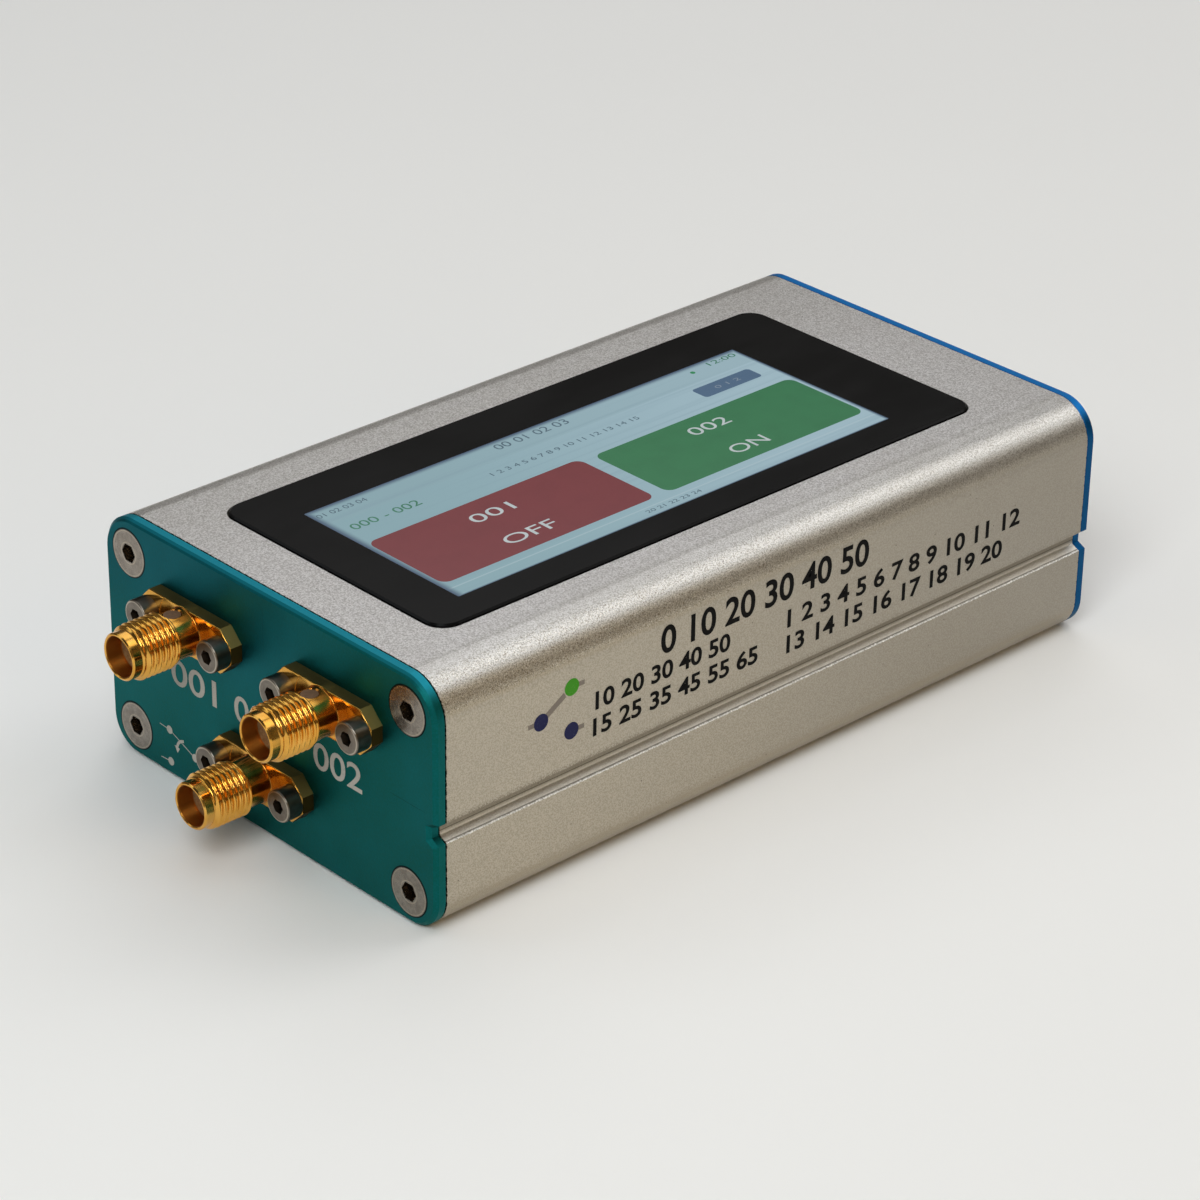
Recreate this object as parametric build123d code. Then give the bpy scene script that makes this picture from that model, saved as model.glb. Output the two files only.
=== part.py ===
from build123d import *
import math
import os

# Coaxial antenna switch: a split aluminium case with a touchscreen in its top, three
# coaxial jacks on its front plate and a powered network socket on its rear plate.
# Millimetres. +X runs along the case towards the rear plate, +Y across it, +Z up.
# The origin is the centre of the case's base.

# ---------------------------------------------------------------- case
CASE_LENGTH = 101.5            # over both end plates
CASE_WIDTH = 55.0
CASE_HEIGHT = 29.5
PLATE_THICKNESS = 1.5
PLATE_BEVEL = 0.45             # outer edge of each end plate
PLATE_BACK_BEVEL = 0.18        # shadow line between a plate and the shells
TOP_EDGE_RADIUS = 4.7
BOTTOM_EDGE_RADIUS = 4.1
SIDE_WALL = 1.8
TOP_WALL = 2.2
BOTTOM_WALL = 1.8
CAVITY_CORNER_RADIUS = 1.0

GROOVE_BOTTOM = 10.95          # lower lip of the side groove, above the base
GROOVE_LOWER_FLANK = 0.55
GROOVE_FLOOR_HEIGHT = 1.3
GROOVE_UPPER_FLANK = 0.6
GROOVE_DEPTH = 1.1

SEAM_WALL = 1.6                # wall of the top shell behind the groove
TONGUE_THICKNESS = 0.9         # inner lip of the bottom shell, behind that wall
TONGUE_HEIGHT = 1.8
TONGUE_CLEARANCE = 0.1
SEAM_RAIL_HEIGHT = 2.6
RAIL_SINK = 0.3                # how far an inner rail is rooted in its wall

PLATE_SCREW_SIDE_INSET = 4.3   # screw axes, from the outside of the case
PLATE_SCREW_TOP_INSET = 4.2
PLATE_SCREW_BOTTOM_INSET = 3.76
SCREW_BOSS_RADIUS = 3.2
SCREW_CHANNEL_RADIUS = 1.25

# ---------------------------------------------------------------- fasteners
M3_RADIUS = 1.5
M3_HEAD_RADIUS = 2.8
M3_LENGTH = 8.0
M3_HEAD_RIM = 0.15
M3_KEY = 2.0
M3_KEY_DEPTH = 1.1
M2_RADIUS = 1.0
M2_HEAD_RADIUS = 1.85
M2_HEAD_HEIGHT = 1.9
M2_HEAD_ROUND = 0.2
M2_LENGTH = 8.0
M2_KEY = 1.5
M2_KEY_DEPTH = 1.0
M2_NUT_ACROSS = 4.0
M2_NUT_HEIGHT = 1.6
THREAD_CLEARANCE = 0.03        # screw to its tapped hole
SHANK_CLEARANCE = 0.1          # screw to a plain hole
TAP_EXTRA_DEPTH = 1.0

# ---------------------------------------------------------------- coaxial jacks
UPPER_PORT_SIDE_INSET = 16.0    # jack axes, from the outside of the case
UPPER_PORT_HEIGHT = 21.0
LOWER_PORT_HEIGHT = 7.8
FLANGE_LENGTH = 15.7
FLANGE_HEIGHT = 5.45
FLANGE_THICKNESS = 1.6
FLANGE_CORNER_CUT = 1.75
FLANGE_HOLE_SPACING = 12.3
JACK_REACH = 10.35             # tip of a jack in front of the front plate
NECK_RADIUS = 2.7
NECK_LENGTH = 4.2              # from the plate
PLUG_HOLE_RADIUS = 0.95        # resin plug in the neck, which locks the dielectric
PLUG_HOLE_DISTANCE = 3.15      # its axis, from the plate
RESIN_DISH = 0.12              # resin below the neck's surface
THREAD_MAJOR_RADIUS = 3.175
THREAD_MINOR_RADIUS = 2.75
THREAD_PITCH = 0.7056
THREAD_CREST = 0.14
THREAD_TURNS = 7
LEAD_RADIUS = 2.7
LEAD_CHAMFER = 0.15
SOCKET_RADIUS = 2.3
SOCKET_DEPTH = 1.95
DIELECTRIC_RADIUS = 2.05
CONTACT_RADIUS = 0.635
CONTACT_HOLE_RADIUS = 0.47
CONTACT_HOLE_DEPTH = 3.0
CONTACT_TAIL = 0.8             # beyond the radio board
PLATE_BORE_CLEARANCE = 0.1

# ---------------------------------------------------------------- radio board
RF_SPACER_LENGTH = 2.5
RF_SPACER_RADIUS = 1.9
RF_BOARD_THICKNESS = 0.8
RF_BOARD_CLEARANCE = 0.4
RF_CAN_WIDTH = 18.0
RF_CAN_HEIGHT = 6.6
RF_CAN_DEPTH = 2.6
CAN_WALL = 0.3                 # both shield cans
RF_CAN_ABOVE_HEADER = 0.7
RF_CHIP_SIZE = 4.0
RF_CHIP_THICKNESS = 0.9
RF_CAPACITOR_LENGTH = 1.6
RF_CAPACITOR_WIDTH = 0.8
RF_CAPACITOR_HEIGHT = 0.8
RF_CAPACITOR_SPACING = 6.0      # outer two, from the middle
RF_CAPACITOR_OFFSET = 4.0       # third one, from the middle
PIN_HOLE_CLEARANCE = 0.06      # boards to square pins and round posts

# ---------------------------------------------------------------- main board
MAIN_BOARD_THICKNESS = 1.6
BOARD_BOSS_GAP = 0.44          # main board above the bottom shell's screw bosses
MAIN_BOARD_FRONT_GAP = 0.75
MAIN_BOARD_REAR_GAP = 0.65
BOARD_SIDE_CLEARANCE = 0.25
BOARD_SLOT_CLEARANCE = 0.1
BOARD_LEDGE_HEIGHT = 1.5
HEADER_PINS = 4
HEADER_PITCH = 2.54
HEADER_BODY = 2.5
HEADER_EDGE_INSET = 2.48       # last pin, from the edge of the radio board
HEADER_PIN_SIDE = 0.64
HEADER_BEND_GAP = 1.0
HEADER_PIN_TAIL = 0.5
HEADER_BOARD_SETBACK = 0.5

# ---------------------------------------------------------------- display
GLASS_LENGTH = 81.6
GLASS_WIDTH = 36.6
GLASS_THICKNESS = 1.1
GLASS_PROUD = 0.3
GLASS_CORNER_RADIUS = 2.5
GLASS_BEVEL = 0.2
GLASS_GAP = 0.2                # between the glass and its recess, all round
GLASS_CENTRE = (-1.45, -0.4)
LEDGE_WIDTH = 1.6
ADHESIVE_THICKNESS = 0.2
ADHESIVE_INSET = 0.25
WINDOW_CORNER_RADIUS = 1.5
TOUCH_FILM_MARGIN = 0.6
TOUCH_FILM_THICKNESS = 0.15
WINDOW_END_CLEARANCE = 2.7      # window to the backlight tray
WINDOW_SIDE_CLEARANCE = 1.2
LCD_THICKNESS = 1.25
LCD_OFFSET = (-0.45, -0.05)     # middle of the panel, from the middle of the glass
LIGHT_GUIDE_THICKNESS = 1.4
TRAY_WALL = 0.4
TRAY_CLEARANCE = 0.1
TRAY_RIM_DROP = 0.2            # tray rim below the touch film
FOAM_THICKNESS = 0.5
FOAM_LENGTH = 60.0
FOAM_WIDTH = 4.0
FOAM_EDGE = 2.0
LCD_FLEX_WIDTH = 16.0
LCD_FLEX_THICKNESS = 0.15
LCD_FLEX_EXIT = 1.1            # straight stretch before its fold
LCD_FLEX_LANDING = 2.5
CONTROLLER_END_SETBACK = 0.3    # inside each end of the panel
CONTROLLER_BOARD_THICKNESS = 1.2
MODULE_LENGTH = 25.5
MODULE_WIDTH = 18.0
MODULE_THICKNESS = 0.8
MODULE_CENTRE = (-7.0, 0.0)
MODULE_CAN_LENGTH = 17.6
MODULE_CAN_WIDTH = 15.8
MODULE_CAN_HEIGHT = 2.3
MODULE_CAN_SETBACK = 1.0

# ---------------------------------------------------------------- flat cable between boards
FFC_WIDTH = 7.0
FFC_THICKNESS = 0.3
FFC_STRAIGHT = 1.5
FFC_CENTRE = (-35.0, -9.0)     # middle of both connectors
FFC_CONNECTOR_LENGTH = 4.2
FFC_CONNECTOR_WIDTH = 10.4
FFC_CONNECTOR_HEIGHT = 1.8
FFC_INSERTION = 2.6

# ---------------------------------------------------------------- network socket
SOCKET_CENTRE_Y = 0.0
SOCKET_RECESS = 0.15           # its face, inside the rear plate's outer face
JACK_WIDTH = 15.6
JACK_HEIGHT = 13.0
JACK_DEPTH = 21.0
JACK_SHIELD = 0.25
JACK_CLEARANCE = 0.15
PLUG_WIDTH = 11.8
PLUG_HEIGHT = 6.7
PLUG_DEPTH = 14.0
PLUG_FLOOR = 4.9               # above the board
LATCH_WIDTH = 6.2
LATCH_HEIGHT = 1.6
LATCH_KEY_WIDTH = 3.4
LATCH_KEY_HEIGHT = 1.8
POST_RADIUS = 1.55
POST_SPREAD = 11.4
POST_SETBACK = 9.0
POST_LENGTH = 2.4
CONTACT_COUNT = 8
CONTACT_PITCH = 1.02
CONTACT_WIDTH = 0.45
CONTACT_WIRE = 0.35
CONTACT_ROOT = 2.2             # start of a contact, behind the socket's face
CONTACT_RUN = 7.5
CONTACT_DROP = 1.9
LED_WIDTH = 2.7
LED_HEIGHT = 2.3
LED_DEPTH = 3.0
LED_SPREAD = 11.6
LED_FLOOR = 1.1

# ---------------------------------------------------------------- power parts
TRANSFORMER_CENTRE = (15.0, -10.0)
BOBBIN_SIZE = (14.0, 15.0, 2.0)
CORE_SIZE = (13.0, 9.0, 9.6)
WINDING_SIZE = (8.0, 13.0, 7.0)
INDUCTOR_CENTRE = (-2.0, -11.0)
INDUCTOR_SIDE = 10.0
INDUCTOR_HEIGHT = 4.0
INDUCTOR_CORNER_CUT = 1.5
CAPACITOR_PLACES = ((16.0, 11.0), (5.5, 11.0))
CAPACITOR_RADIUS = 4.0
CAPACITOR_HEIGHT = 10.0
CAPACITOR_BASE_SIDE = 8.4
CAPACITOR_BASE_HEIGHT = 0.8
CAPACITOR_ROUND = 0.5
WINDING_ROUND = 0.5
POE_CHIP_CENTRE = (-12.0, 4.0)
POE_CHIP_SIDE = 5.0
POE_CHIP_HEIGHT = 0.9
ETHERNET_CHIP_CENTRE = (-24.0, 6.0)
ETHERNET_CHIP_SIDE = 7.0
ETHERNET_CHIP_HEIGHT = 1.4
BRIDGE_PLACES = ((25.0, 11.0), (25.0, 18.0))
BRIDGE_LENGTH = 4.7
BRIDGE_WIDTH = 4.0
BRIDGE_HEIGHT = 2.5

# ---------------------------------------------------------------- reset button
RESET_SIDE_INSET = 13.0        # its axis, from the outside of the case
RESET_HOLE_RADIUS = 1.0
RESET_TRAVEL = 0.25
RESET_PLATE_GAP = 0.3          # plunger tip to the rear plate
RESET_BODY_LENGTH = 3.6
RESET_BODY_WIDTH = 6.0
RESET_BODY_HEIGHT = 3.8
RESET_FACE_WALL = 0.5
RESET_STEM_RADIUS = 1.0
RESET_STEM_REACH = 1.0         # beyond the switch's face
RESET_HEAD_RADIUS = 1.4
RESET_HEAD_LENGTH = 0.8
RESET_CLEARANCE = 0.15

# ---------------------------------------------------------------- derived places
FRONT_FACE = -CASE_LENGTH / 2
REAR_FACE = CASE_LENGTH / 2
SHELL_START = FRONT_FACE + PLATE_THICKNESS
SHELL_END = REAR_FACE - PLATE_THICKNESS
HALF_WIDTH = CASE_WIDTH / 2
INNER_HALF_WIDTH = HALF_WIDTH - SIDE_WALL
CEILING = CASE_HEIGHT - TOP_WALL

GROOVE_FLOOR_BOTTOM = GROOVE_BOTTOM + GROOVE_LOWER_FLANK
GROOVE_FLOOR_TOP = GROOVE_FLOOR_BOTTOM + GROOVE_FLOOR_HEIGHT
GROOVE_TOP = GROOVE_FLOOR_TOP + GROOVE_UPPER_FLANK
SEAM = GROOVE_FLOOR_BOTTOM
SEAM_INNER = HALF_WIDTH - GROOVE_DEPTH - SEAM_WALL
TONGUE_OUTER = SEAM_INNER - TONGUE_CLEARANCE
TONGUE_INNER = TONGUE_OUTER - TONGUE_THICKNESS

SCREW_Y = HALF_WIDTH - PLATE_SCREW_SIDE_INSET
TOP_SCREW_Z = CASE_HEIGHT - PLATE_SCREW_TOP_INSET
BOTTOM_SCREW_Z = PLATE_SCREW_BOTTOM_INSET
TOP_SCREWS = [(-SCREW_Y, TOP_SCREW_Z), (SCREW_Y, TOP_SCREW_Z)]
BOTTOM_SCREWS = [(-SCREW_Y, BOTTOM_SCREW_Z), (SCREW_Y, BOTTOM_SCREW_Z)]
PLATE_SCREWS = TOP_SCREWS + BOTTOM_SCREWS

UPPER_PORT_Y = HALF_WIDTH - UPPER_PORT_SIDE_INSET
PORTS = [
    (UPPER_PORT_Y, UPPER_PORT_HEIGHT),
    (-UPPER_PORT_Y, UPPER_PORT_HEIGHT),
    (0.0, LOWER_PORT_HEIGHT),
]
FLANGE_SCREWS = [
    (port_y + side * FLANGE_HOLE_SPACING / 2, port_z)
    for port_y, port_z in PORTS
    for side in (1, -1)
]

RF_BOARD_FRONT = SHELL_START + RF_SPACER_LENGTH
RF_BOARD_BACK = RF_BOARD_FRONT + RF_BOARD_THICKNESS
RF_BOARD_HALF_WIDTH = SCREW_Y - SCREW_BOSS_RADIUS - RF_BOARD_CLEARANCE
NUT_END = RF_BOARD_BACK + M2_NUT_HEIGHT

MAIN_BOARD_HEIGHT = BOTTOM_SCREW_Z + SCREW_BOSS_RADIUS + BOARD_BOSS_GAP
MAIN_BOARD_TOP = MAIN_BOARD_HEIGHT + MAIN_BOARD_THICKNESS
MAIN_BOARD_FRONT = NUT_END + MAIN_BOARD_FRONT_GAP
MAIN_BOARD_REAR = SHELL_END - MAIN_BOARD_REAR_GAP
MAIN_BOARD_HALF_WIDTH = INNER_HALF_WIDTH - BOARD_SIDE_CLEARANCE
SLOT_TOP = MAIN_BOARD_TOP + BOARD_SLOT_CLEARANCE

HEADER_PIN_Z = MAIN_BOARD_TOP + HEADER_BODY / 2
HEADER_FRONT = MAIN_BOARD_FRONT + HEADER_BOARD_SETBACK
HEADER_BACK = HEADER_FRONT + HEADER_BODY
HEADER_BEND_X = HEADER_BACK + HEADER_BEND_GAP
HEADER_HOLE_RADIUS = HEADER_PIN_SIDE / math.sqrt(2) + PIN_HOLE_CLEARANCE
HEADER_LAST_PIN = RF_BOARD_HALF_WIDTH - HEADER_EDGE_INSET
HEADER_FIRST_PIN = HEADER_LAST_PIN - (HEADER_PINS - 1) * HEADER_PITCH
HEADER_PIN_YS = [HEADER_FIRST_PIN + index * HEADER_PITCH for index in range(HEADER_PINS)]
RF_CAN_BOTTOM = MAIN_BOARD_TOP + HEADER_BODY + RF_CAN_ABOVE_HEADER
RF_CAN_MIDDLE = RF_CAN_BOTTOM + RF_CAN_HEIGHT / 2

GLASS_TOP = CASE_HEIGHT + GLASS_PROUD
GLASS_BOTTOM = GLASS_TOP - GLASS_THICKNESS
LEDGE_TOP = GLASS_BOTTOM - ADHESIVE_THICKNESS
WINDOW_LENGTH = GLASS_LENGTH - 2 * LEDGE_WIDTH
WINDOW_WIDTH = GLASS_WIDTH - 2 * LEDGE_WIDTH
FILM_BOTTOM = GLASS_BOTTOM - TOUCH_FILM_THICKNESS
LCD_BOTTOM = FILM_BOTTOM - LCD_THICKNESS
GUIDE_BOTTOM = LCD_BOTTOM - LIGHT_GUIDE_THICKNESS
TRAY_BOTTOM = GUIDE_BOTTOM - TRAY_WALL
CONTROLLER_TOP = TRAY_BOTTOM - FOAM_THICKNESS
CONTROLLER_BOTTOM = CONTROLLER_TOP - CONTROLLER_BOARD_THICKNESS
TRAY_LENGTH = WINDOW_LENGTH - 2 * WINDOW_END_CLEARANCE
TRAY_WIDTH = WINDOW_WIDTH - 2 * WINDOW_SIDE_CLEARANCE
LCD_LENGTH = TRAY_LENGTH - 2 * (TRAY_WALL + TRAY_CLEARANCE)
LCD_WIDTH = TRAY_WIDTH - 2 * (TRAY_WALL + TRAY_CLEARANCE)
LCD_CENTRE = (GLASS_CENTRE[0] + LCD_OFFSET[0], GLASS_CENTRE[1] + LCD_OFFSET[1])
CONTROLLER_BOARD_LENGTH = LCD_LENGTH - 2 * CONTROLLER_END_SETBACK

FFC_LOW = MAIN_BOARD_TOP + FFC_CONNECTOR_HEIGHT / 2
FFC_HIGH = CONTROLLER_BOTTOM - FFC_CONNECTOR_HEIGHT / 2
FFC_MOUTH = FFC_CENTRE[0] + FFC_CONNECTOR_LENGTH / 2
FFC_END = FFC_MOUTH - FFC_INSERTION

JACK_FACE = REAR_FACE - SOCKET_RECESS
JACK_BACK = JACK_FACE - JACK_DEPTH
JACK_TOP = MAIN_BOARD_TOP + JACK_HEIGHT
PLUG_BOTTOM = MAIN_BOARD_TOP + PLUG_FLOOR
PLUG_TOP = PLUG_BOTTOM + PLUG_HEIGHT
LATCH_BOTTOM = PLUG_BOTTOM - LATCH_HEIGHT
LED_BOTTOM = MAIN_BOARD_TOP + LED_FLOOR
LED_YS = [SOCKET_CENTRE_Y - LED_SPREAD / 2, SOCKET_CENTRE_Y + LED_SPREAD / 2]

RESET_CENTRE_Y = HALF_WIDTH - RESET_SIDE_INSET
RESET_TIP = SHELL_END - RESET_PLATE_GAP
RESET_FACE = RESET_TIP - RESET_STEM_REACH
RESET_BODY_BACK = RESET_FACE - RESET_BODY_LENGTH
RESET_AXIS = (RESET_CENTRE_Y, MAIN_BOARD_TOP + RESET_BODY_HEIGHT / 2)
RESET_CHAMBER_FRONT = RESET_FACE - RESET_FACE_WALL
RESET_HEAD_FRONT = RESET_CHAMBER_FRONT - RESET_CLEARANCE
RESET_HEAD_BACK = RESET_HEAD_FRONT - RESET_HEAD_LENGTH
RESET_CHAMBER_BACK = RESET_HEAD_BACK - RESET_TRAVEL - RESET_CLEARANCE


# ---------------------------------------------------------------- building blocks
def block(x_range, y_range, z_range):
    """A box between two corners."""
    sizes = [high - low for low, high in (x_range, y_range, z_range)]
    middles = [(low + high) / 2 for low, high in (x_range, y_range, z_range)]
    return Pos(*middles) * Box(*sizes)


def centred(middle, size):
    """The range of a size about its middle."""
    return (middle - size / 2, middle + size / 2)


def along_x(profile, start, end):
    """A cross-section, drawn as (across, up), carried along the case."""
    return extrude(Plane.YZ.offset(start) * profile, end - start)


def across_y(profile, y_range):
    """A side view, drawn as (along, up), carried across the case."""
    low, high = y_range
    return extrude(Plane.XZ.offset(-low) * profile, high - low, dir=(0, 1, 0))


def upward(profile, z_range):
    """A plan view carried upward."""
    low, high = z_range
    return extrude(Pos(0, 0, low) * profile, high - low)


def rod(x_range, place, radius):
    """A round bar along X about a point (across, up)."""
    return along_x(Pos(*place) * Circle(radius), *x_range)


def post(place, z_range, radius):
    """A round bar along Z about a point (along, across)."""
    return upward(Pos(*place) * Circle(radius), z_range)


def turned(outline):
    """A turned solid about the X axis from (along, radius) points."""
    return revolve(Plane.XZ * Polygon(*outline, align=None), Axis.X)


def hexagon(across_flats):
    return RegularPolygon(across_flats / 2, 6, major_radius=False)


def rounded_plan(centre, length, width, radius):
    return Pos(*centre) * RectangleRounded(length, width, radius)


def slab_on_board(centre, length, width, z_range):
    return block(centred(centre[0], length), centred(centre[1], width), z_range)


# ---------------------------------------------------------------- case
def groove_notch(side):
    """Cross-section of the side groove, open to the outside. side is +1 or -1."""
    outside = HALF_WIDTH + GROOVE_DEPTH
    floor = HALF_WIDTH - GROOVE_DEPTH
    points = [
        (outside, GROOVE_BOTTOM),
        (HALF_WIDTH, GROOVE_BOTTOM),
        (floor, GROOVE_FLOOR_BOTTOM),
        (floor, GROOVE_FLOOR_TOP),
        (HALF_WIDTH, GROOVE_TOP),
        (outside, GROOVE_TOP),
    ]
    return Polygon(*[(side * across, up) for across, up in points], align=None)


def case_outline():
    """Cross-section of the closed case, solid."""
    outline = Pos(0, CASE_HEIGHT / 2) * Rectangle(CASE_WIDTH, CASE_HEIGHT)
    outline = fillet(outline.vertices().group_by(Axis.Y)[-1], TOP_EDGE_RADIUS)
    outline = fillet(outline.vertices().group_by(Axis.Y)[0], BOTTOM_EDGE_RADIUS)
    return outline - groove_notch(1) - groove_notch(-1)


def strip(y_range, z_range):
    """A rectangle of a cross-section."""
    middle = (sum(y_range) / 2, sum(z_range) / 2)
    return Pos(*middle) * Rectangle(y_range[1] - y_range[0], z_range[1] - z_range[0])


def both_sides(y_range, z_range):
    """The same strip on both sides of the case."""
    low, high = y_range
    return strip((low, high), z_range) + strip((-high, -low), z_range)


def cavity():
    """Cross-section of the room inside the case."""
    room = strip((-INNER_HALF_WIDTH, INNER_HALF_WIDTH), (BOTTOM_WALL, CEILING))
    return fillet(room.vertices(), CAVITY_CORNER_RADIUS)


def screw_bosses(places):
    bosses = [Pos(*place) * Circle(SCREW_BOSS_RADIUS) for place in places]
    return Sketch() + bosses


def cut_screw_channels(shell, places):
    """A channel along the whole shell under each plate screw, tapped at both ends."""
    tapped_depth = M3_LENGTH - PLATE_THICKNESS + TAP_EXTRA_DEPTH
    tapped_radius = M3_RADIUS + THREAD_CLEARANCE
    for place in places:
        shell -= rod((SHELL_START, SHELL_END), place, SCREW_CHANNEL_RADIUS)
        shell -= rod((SHELL_START, SHELL_START + tapped_depth), place, tapped_radius)
        shell -= rod((SHELL_END - tapped_depth, SHELL_END), place, tapped_radius)
    return shell


def top_shell():
    above_seam = strip((-CASE_WIDTH, CASE_WIDTH), (SEAM, 2 * CASE_HEIGHT))
    outline = case_outline() & above_seam
    profile = outline - cavity()
    profile += screw_bosses(TOP_SCREWS) & outline
    rail = (SEAM_INNER, INNER_HALF_WIDTH + RAIL_SINK)
    profile += both_sides(rail, (SEAM, SEAM + SEAM_RAIL_HEIGHT))
    shell = along_x(profile, SHELL_START, SHELL_END)
    shell = cut_screw_channels(shell, TOP_SCREWS)
    recess_length = GLASS_LENGTH + 2 * GLASS_GAP
    recess_width = GLASS_WIDTH + 2 * GLASS_GAP
    recess = rounded_plan(GLASS_CENTRE, recess_length, recess_width, GLASS_CORNER_RADIUS + GLASS_GAP)
    window = rounded_plan(GLASS_CENTRE, WINDOW_LENGTH, WINDOW_WIDTH, WINDOW_CORNER_RADIUS)
    shell -= upward(recess, (LEDGE_TOP, GLASS_TOP))
    shell -= upward(window, (SEAM + SEAM_RAIL_HEIGHT, GLASS_TOP))
    return shell


def bottom_shell():
    below_seam = strip((-CASE_WIDTH, CASE_WIDTH), (-CASE_HEIGHT, SEAM))
    outline = case_outline() & below_seam
    profile = outline - cavity()
    profile += screw_bosses(BOTTOM_SCREWS) & outline
    rail = (TONGUE_INNER, INNER_HALF_WIDTH + RAIL_SINK)
    profile += both_sides(rail, (MAIN_BOARD_HEIGHT - BOARD_LEDGE_HEIGHT, MAIN_BOARD_HEIGHT))
    profile += both_sides(rail, (SLOT_TOP, SEAM))
    profile += both_sides((TONGUE_INNER, TONGUE_OUTER), (SEAM, SEAM + TONGUE_HEIGHT))
    shell = along_x(profile, SHELL_START, SHELL_END)
    return cut_screw_channels(shell, BOTTOM_SCREWS)


def countersunk_head(place):
    """The conical head of a plate screw, flush with the rear plate's outer face."""
    rim = REAR_FACE - M3_HEAD_RIM
    throat = rim - (M3_HEAD_RADIUS - M3_RADIUS)
    outline = [
        (throat, 0), (throat, M3_RADIUS), (rim, M3_HEAD_RADIUS),
        (REAR_FACE, M3_HEAD_RADIUS), (REAR_FACE, 0),
    ]
    return Pos(0, *place) * turned(outline)


def blank_plate():
    """The rear plate before its own openings. The front plate is its mirror image."""
    plate = along_x(case_outline(), SHELL_END, REAR_FACE)
    plate = chamfer(plate.faces().sort_by(Axis.X)[-1].outer_wire().edges(), PLATE_BEVEL)
    plate = chamfer(plate.faces().sort_by(Axis.X)[0].outer_wire().edges(), PLATE_BACK_BEVEL)
    for place in PLATE_SCREWS:
        plate -= rod((SHELL_END, REAR_FACE), place, M3_RADIUS + SHANK_CLEARANCE)
        plate -= countersunk_head(place)
    return plate


def front_plate():
    plate = mirror(blank_plate(), Plane.YZ)
    for place in PORTS:
        plate -= rod((FRONT_FACE, SHELL_START), place, DIELECTRIC_RADIUS + PLATE_BORE_CLEARANCE)
    for place in FLANGE_SCREWS:
        plate -= rod((FRONT_FACE, SHELL_START), place, M2_RADIUS + SHANK_CLEARANCE)
    return plate


def rear_plate():
    plate = blank_plate()
    reach = JACK_WIDTH + 2 * (JACK_SHIELD + JACK_CLEARANCE)
    floor = MAIN_BOARD_TOP - JACK_CLEARANCE
    roof = JACK_TOP + JACK_SHIELD + JACK_CLEARANCE
    plate -= block((SHELL_END, REAR_FACE), centred(SOCKET_CENTRE_Y, reach), (floor, roof))
    plate -= rod((SHELL_END, REAR_FACE), RESET_AXIS, RESET_HOLE_RADIUS)
    return plate


def plate_screws():
    """The rear plate's four screws. The front ones are their mirror image."""
    screws = []
    key_floor = REAR_FACE - M3_KEY_DEPTH
    for place in PLATE_SCREWS:
        shank = rod((REAR_FACE - M3_LENGTH, key_floor), place, M3_RADIUS)
        key = along_x(Pos(*place) * hexagon(M3_KEY), key_floor, REAR_FACE)
        screws.append(countersunk_head(place) + shank - key)
    return screws


# ---------------------------------------------------------------- coaxial jacks
def in_front(distance):
    """The place along X at a distance in front of the front plate."""
    return FRONT_FACE - distance


def thread_outline():
    """Ridges of the coupling thread as (along, radius) points."""
    flank = (THREAD_PITCH - THREAD_CREST) / 2
    points = []
    for turn in range(THREAD_TURNS):
        root = NECK_LENGTH + turn * THREAD_PITCH
        points += [
            (in_front(root), THREAD_MINOR_RADIUS),
            (in_front(root + flank), THREAD_MAJOR_RADIUS),
            (in_front(root + flank + THREAD_CREST), THREAD_MAJOR_RADIUS),
        ]
    points.append((in_front(NECK_LENGTH + THREAD_TURNS * THREAD_PITCH), THREAD_MINOR_RADIUS))
    return points


def flange():
    """The two-hole flange with its corners cut, centred on the jack's axis."""
    plan = Rectangle(FLANGE_LENGTH, FLANGE_HEIGHT)
    plan = chamfer(plan.vertices(), FLANGE_CORNER_CUT)
    for side in (1, -1):
        plan -= Pos(side * FLANGE_HOLE_SPACING / 2, 0) * Circle(M2_RADIUS + SHANK_CLEARANCE)
    return along_x(plan, in_front(FLANGE_THICKNESS), FRONT_FACE)


def resin_side(place):
    """The upper jacks have their resin plug on top, the lower one underneath."""
    return 1 if place[1] > LOWER_PORT_HEIGHT else -1


def resin_bore(side, start, end):
    """A round bar across the neck, from one radius to another."""
    return post((in_front(PLUG_HOLE_DISTANCE), 0), sorted((side * start, side * end)), PLUG_HOLE_RADIUS)


def sma_body(place):
    outline = [
        (FRONT_FACE, 0),
        (FRONT_FACE, NECK_RADIUS),
        (in_front(NECK_LENGTH), NECK_RADIUS),
        *thread_outline(),
        (in_front(NECK_LENGTH + THREAD_TURNS * THREAD_PITCH), LEAD_RADIUS),
        (in_front(JACK_REACH - LEAD_CHAMFER), LEAD_RADIUS),
        (in_front(JACK_REACH), LEAD_RADIUS - LEAD_CHAMFER),
        (in_front(JACK_REACH), 0),
    ]
    body = turned(outline) + flange()
    body -= rod((in_front(JACK_REACH), FRONT_FACE), (0, 0), DIELECTRIC_RADIUS)
    body -= rod((in_front(JACK_REACH), in_front(JACK_REACH - SOCKET_DEPTH)), (0, 0), SOCKET_RADIUS)
    body -= resin_bore(resin_side(place), 0, NECK_RADIUS)
    return Pos(0, *place) * body


def sma_dielectric(place):
    core = rod((in_front(JACK_REACH - SOCKET_DEPTH), RF_BOARD_FRONT), place, DIELECTRIC_RADIUS)
    return core - rod((in_front(JACK_REACH), RF_BOARD_FRONT), place, CONTACT_RADIUS)


def sma_contact(place):
    tip = in_front(JACK_REACH - SOCKET_DEPTH)
    contact = rod((tip, RF_BOARD_BACK + CONTACT_TAIL), place, CONTACT_RADIUS)
    return contact - rod((tip, tip + CONTACT_HOLE_DEPTH), place, CONTACT_HOLE_RADIUS)


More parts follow.
